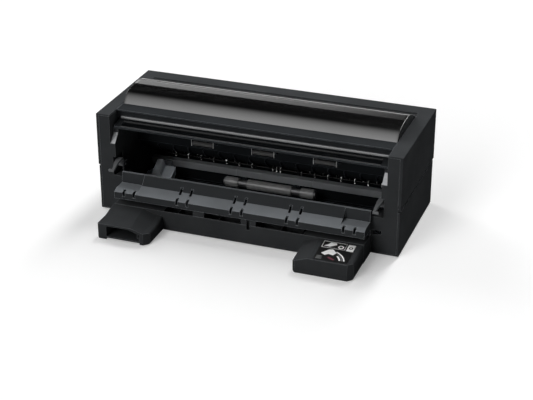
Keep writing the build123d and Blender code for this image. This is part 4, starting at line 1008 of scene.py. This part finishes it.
class FEEDER_OT_thin_trim(bpy.types.Operator):
    """Make the wear plates on the ramps and the thin light rims of the windows, a painted highlight of
    their edges
    """

    bl_idname = "feeder.thin_trim"
    bl_label = "Wear plates and window rims"

    def execute(self, context):
        self.wear_plates()
        self.window_rim_highlights()
        return {"FINISHED"}

    def wear_plates(self):
        """A thin plate up each side frame's ramp."""
        front = node_box("upper_case")[0][1]
        foot_depth, foot_height = 0.6 * MM, 145.8 * MM
        head_depth, head_height = 16.6 * MM, 163.6 * MM
        inner, outer, thick = 269.4 * MM, 278.8 * MM, 0.35 * MM
        foot = np.array([front + foot_depth, foot_height])
        head = np.array([front + head_depth, head_height])
        along = (head - foot) / np.linalg.norm(head - foot)
        lift = thick * np.array([-along[1], along[0]])
        plates = Surface()
        for side in (-1, 1):
            plates.prism([foot, head, head + lift, foot + lift], *sorted((side * inner, side * outer)))
        piece = plates.piece("wear_plates", "case", [finish_named("wear_plate")])

    def window_rim_highlights(self):
        """A top bar and two side bars round each window, on the chamber panel's face. Their light colour
        is a painted highlight of the windows' edges.
        """
        line, thick, margin = 1.0 * MM, 0.25 * MM, 1.6 * MM
        window_drop, window_rise, in_front = 0.3 * MM, 14.3 * MM, 0.1 * MM
        rims = Surface()
        for side in ("left", "centre", "right"):
            low, high = node_box("window_roller_" + side)
            left, right = low[0] - margin, high[0] + margin
            bottom, top = low[2] - window_drop, low[2] + window_rise
            face = low[1] - in_front
            for x_low, x_high, z_low, z_high in (
                (left, right, top - line, top),
                (left, left + line, bottom, top - line),
                (right - line, right, bottom, top - line),
            ):
                square = [(face, z_low), (face, z_high), (face - thick, z_high), (face - thick, z_low)]
                rims.prism(square, x_low, x_high)
        piece = rims.piece("window_rim_highlights", "case", [finish_named("rim")], weld=1e-7)


class FEEDER_OT_hook_springs(bpy.types.Operator):
    """Make the wound springs beside the docking hooks"""

    bl_idname = "feeder.hook_springs"
    bl_label = "Hook springs"

    def execute(self, context):
        """A coil: the wire's centre runs round at one radius while x moves by pitch a / (2 pi)."""
        wire = context.scene.feeder_sizes.spring_wire / 2
        low, high = node_box("hook_springs")
        place = joint_place("right_hook_swing")
        coil = (high[2] - low[2]) / 2 - wire
        turns, pitch = 2.25, 0.72 * MM
        run = np.linspace(0, turns * 2 * pi, 90)[:, None]
        round_wire = np.linspace(0, 2 * pi, 10, endpoint=False)
        springs = Surface()
        for side, start in ((-1, low[0] + wire), (1, high[0] - wire)):
            x = start - side * pitch * run / (2 * pi) + wire * np.sin(round_wire)
            springs.loft(around(x, coil + wire * np.cos(round_wire), run, place))
        piece = springs.piece("hook_springs_wound", "case", [finish_named("steel")], 60.0)
        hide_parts("hook_springs")
        return {"FINISHED"}


class FEEDER_OT_sticker(bpy.types.Operator):
    """Print plain shapes in white, grey and red on the black sticker of the right foot"""

    bl_idname = "feeder.sticker"
    bl_label = "Foot sticker"

    def execute(self, context):
        low, high = node_box("foot_label")
        front_step, lift = 0.4 * MM, 0.06 * MM
        self.corner = np.array([low[0], low[1], low[2] + front_step + lift])
        self.across = np.array([high[0] - low[0], 0.0, 0.0])
        self.back = np.array([0.0, high[1] - low[1], high[2] - low[2] - front_step])
        white, grey, red, black = 0, 1, 2, 3
        shapes = (
            [(0.10, 0.72), (0.28, 0.71), (0.46, 0.84), (0.42, 0.93), (0.26, 0.93), (0.20, 0.82)],
            [
                (0.13, 0.34),
                (0.26, 0.26),
                (0.36, 0.34),
                (0.50, 0.30),
                (0.56, 0.44),
                (0.42, 0.60),
                (0.30, 0.56),
            ],
        )
        ink = Surface()
        self.frame(ink, (0.04, 0.74), (0.64, 0.97), 0.018, white)
        self.plate(ink, shapes[0], white)
        self.ring(ink, (0.60, 0.76), 0.085, 0.045, white)
        self.block(ink, (0.78, 0.99), (0.62, 0.96), white)
        self.plate(ink, shapes[1], white)
        self.sweep(ink, (0.30, -0.06), 0.58, 0.62, (66, 14), white)
        self.sweep(ink, (0.34, -0.04), 0.49, 0.51, (58, 14), grey)
        self.sweep(ink, (0.36, -0.02), 0.38, 0.43, (50, 16), white)
        self.plate(ink, [(0.36, 0.16), (0.56, 0.05), (0.60, 0.10), (0.40, 0.21)], red)
        for index in range(3):
            front = 0.05 + 0.06 * index
            self.block(ink, (0.05, 0.22), (front, front + 0.025), grey)
        self.ring(ink, (0.885, 0.79), 0.06, 0.03, black, 0.02 * MM)
        inks = [finish_named(name) for name in ("white", "grey", "red", "film")]
        piece = ink.piece("sticker_shapes", "case", inks, weld=1e-8)
        return {"FINISHED"}

    def spot(self, across, back):
        """The point at two parts of the sticker's width and length."""
        return self.corner + across * self.across + back * self.back

    def plate(self, ink, corners, slot):
        """One flat shape through corners given as parts of the sticker's sides."""
        ink.cap([self.spot(*corner) for corner in corners], slot)

    def block(self, ink, across, back, slot):
        """A rectangle between two parts of the width and two parts of the length."""
        (a, b), (c, d) = across, back
        self.plate(ink, [(a, c), (b, c), (b, d), (a, d)], slot)

    def frame(self, ink, across, back, width, slot):
        """A thin outlined bar: four strips inside a rectangle."""
        (a, b), (c, d) = across, back
        sides = (c + width, d - width)
        self.block(ink, across, (c, c + width), slot)
        self.block(ink, across, (d - width, d), slot)
        self.block(ink, (a, a + width), sides, slot)
        self.block(ink, (b - width, b), sides, slot)

    def ring(self, ink, centre, outer, inner, slot, lift=0.0):
        """A flat ring: centre + r (cos a, sin a) for two radii."""
        self.sweep(ink, centre, inner, outer, (360, 0), slot, lift)

    def sweep(self, ink, centre, inner, outer, degrees, slot, lift=0.0):
        """A flat arc between two radii and two angles: centre + r (cos a, sin a)."""
        angle = np.radians(np.linspace(degrees[0], degrees[1], 32))
        rows = []
        for radius in (outer, inner):
            across = centre[0] + radius * np.cos(angle)[:, None]
            back = centre[1] + radius * np.sin(angle)[:, None]
            rows.append(self.spot(across, back) + np.array([0.0, 0.0, lift]))
        ink.grid(np.stack(rows), closed=False, slot=slot)


class FEEDER_OT_screws(bpy.types.Operator):
    """Make the four case screws under the base"""

    bl_idname = "feeder.screws"
    bl_label = "Case screws"

    def execute(self, context):
        low, high = node_box("lower_case")
        from_side, from_edge = 17 * MM, 54 * MM
        screws = Surface()
        for side in (-1, 1):
            for y in (low[1] + from_edge, high[1] - from_edge):
                self.screw(screws, side * (high[0] - from_side), y, low[2])
        piece = screws.piece("case_screws", "case", [finish_named("steel")])
        return {"FINISHED"}

    def screw(self, screws, x, y, z):
        """A pan head with a cross recess.

        The head is a low dome, height h (1 - (r/R)^2 / 2) with its last ring at 0. The cross is
        sunk by its depth where min(|u|, |v|) is under half its width, inside its reach.
        """
        radius, height = 3.0 * MM, 1.3 * MM
        half_width, reach, sunk = 0.35 * MM, 1.8 * MM, 0.7 * MM
        ring = np.linspace(0, 1, 14)[:, None] * radius
        angle = np.linspace(0, 2 * pi, 64, endpoint=False)[None, :]
        u, v = ring * np.cos(angle), ring * np.sin(angle)
        dome = height * (1 - 0.5 * (ring / radius) ** 2) + 0 * angle
        dome[-1] = 0.0
        cross = (np.minimum(abs(u), abs(v)) < half_width) & (ring + 0 * angle < reach)
        screws.grid(points_at(x + u, y + v, z - dome + sunk * cross))


class FEEDER_OT_stage(bpy.types.Operator):
    """Set up the floor, the soft studio light and the camera"""

    bl_idname = "feeder.stage"
    bl_label = "Stage"

    def execute(self, context):
        scene = context.scene
        sizes, light = scene.feeder_sizes, scene.feeder_colours
        half = sizes.floor_width / 2
        mesh = bpy.data.meshes.new("studio_floor")
        corners = [(-half, -half, 0), (half, -half, 0), (half, half, 0), (-half, half, 0)]
        mesh.from_pydata(corners, [], [(0, 1, 2, 3)])
        mesh.materials.append(floor_finish("floor_pale", grey=0.82, dim_grey=0.34, glow=0.26))
        floor = bpy.data.objects.new("studio_floor", mesh)
        scene.collection.objects.link(floor)

        self.sky(scene, light)
        camera_data = bpy.data.cameras.new("studio_camera")
        camera_data.lens = sizes.camera_lens
        camera_data.sensor_width = SENSOR_WIDTH_MM
        camera_data.clip_end = 100.0
        camera = bpy.data.objects.new("studio_camera", camera_data)
        away = CAMERA_PLACE - CAMERA_TARGET
        across = float(np.hypot(away[0], away[1]))
        camera.location = CAMERA_PLACE
        camera.rotation_euler = (np.arctan2(across, away[2]), 0.0, np.arctan2(away[0], -away[1]))
        scene.collection.objects.link(camera)
        scene.camera = camera
        scene.view_settings.view_transform = "Standard"
        return {"FINISHED"}

    def sky(self, scene, light):
        """Soft light from the world.

        A strip ahead of the feeder grows towards the horizon, a broad lamp stands high on the left
        and a little behind, a narrow one high behind, and the wall behind glows low down.
        Directions are x, y (to the back) and z (up).
        """
        world = bpy.data.worlds.new("studio_light")
        scene.world = world
        world.use_nodes = True
        sky = Finish("studio_light", world.node_tree)
        look = sky.node("ShaderNodeTexCoord", {}, {}).outputs["Generated"]
        split = sky.node("ShaderNodeSeparateXYZ", {}, {0: look})
        across, back, up = (Signal(sky, split.outputs[axis]) for axis in range(3))
        strip = across.between(low=-0.56, rise=0.14, high=-0.18, fall=0.16)
        ahead = (0.42 - back).most(0.0) ** 1.4
        lamp = (1 - across.above(-0.68, 0.12)) * back.above(0.05, 0.3) * up.above(0.05, 0.35)
        behind = across.between(low=-0.02, rise=0.08, high=0.16, fall=0.12)
        behind = behind * back.above(0.25, 0.25) * up.above(0.25, 0.25)
        wall = up.between(low=0.22, rise=0.07, high=0.32, fall=0.07)
        wall = wall * back.above(0.1, 0.4) * (1 - across.above(-0.33, 0.16))
        strength = (
            light.fill_light * (1 - strip)
            + light.strip_light * strip * ahead
            + light.lamp_light * lamp
            + light.back_light * behind
            + light.wall_light * wall
        )
        rays = sky.node("ShaderNodeLightPath", {}, {})
        seen = Signal(sky, rays.outputs["Is Camera Ray"])
        plain = sky.node("ShaderNodeBackground", {}, {"Color": (1, 1, 1, 1), "Strength": strength})
        white = sky.node("ShaderNodeBackground", {}, {"Color": (1, 1, 1, 1), "Strength": 1.0})
        pick = sky.node("ShaderNodeMixShader", {}, {0: seen, 1: plain.outputs[0], 2: white.outputs[0]})
        sky.node("ShaderNodeOutputWorld", {}, {"Surface": pick.outputs[0]})


class FEEDER_PT_panel(bpy.types.Panel):
    """Buttons that dress the feeder"""

    bl_idname = "FEEDER_PT_panel"
    bl_label = "Roll paper feeder"
    bl_space_type = "VIEW_3D"
    bl_region_type = "UI"
    bl_category = "Feeder"

    def draw(self, context):
        scene = context.scene
        for group in (scene.feeder_sizes, scene.feeder_colours):
            box = self.layout.box()
            for name in group.__annotations__:
                box.prop(group, name)
        for operator in OPERATORS:
            self.layout.operator(operator.bl_idname)


OPERATORS = (
    FEEDER_OT_finishes,
    FEEDER_OT_cover,
    FEEDER_OT_trim,
    FEEDER_OT_rollers,
    FEEDER_OT_star_wheels,
    FEEDER_OT_hooks,
    FEEDER_OT_thin_trim,
    FEEDER_OT_hook_springs,
    FEEDER_OT_sticker,
    FEEDER_OT_screws,
    FEEDER_OT_stage,
)
CLASSES = (FeederSizes, FeederColours, *OPERATORS, FEEDER_PT_panel)


def register():
    """Add the sizes, the operators and the panel to Blender."""
    for entry in CLASSES:
        bpy.utils.register_class(entry)
    bpy.types.Scene.feeder_sizes = bpy.props.PointerProperty(type=FeederSizes)
    bpy.types.Scene.feeder_colours = bpy.props.PointerProperty(type=FeederColours)


def unregister():
    """Take them out again."""
    del bpy.types.Scene.feeder_sizes
    del bpy.types.Scene.feeder_colours
    for entry in reversed(CLASSES):
        bpy.utils.unregister_class(entry)


def main():
    """Register the add-on and dress the feeder in order."""
    register()
    bpy.ops.feeder.finishes()
    bpy.ops.feeder.cover()
    bpy.ops.feeder.trim()
    bpy.ops.feeder.rollers()
    bpy.ops.feeder.star_wheels()
    bpy.ops.feeder.hooks()
    bpy.ops.feeder.thin_trim()
    bpy.ops.feeder.hook_springs()
    bpy.ops.feeder.sticker()
    bpy.ops.feeder.screws()
    bpy.ops.feeder.stage()


if __name__ == "__main__":
    main()
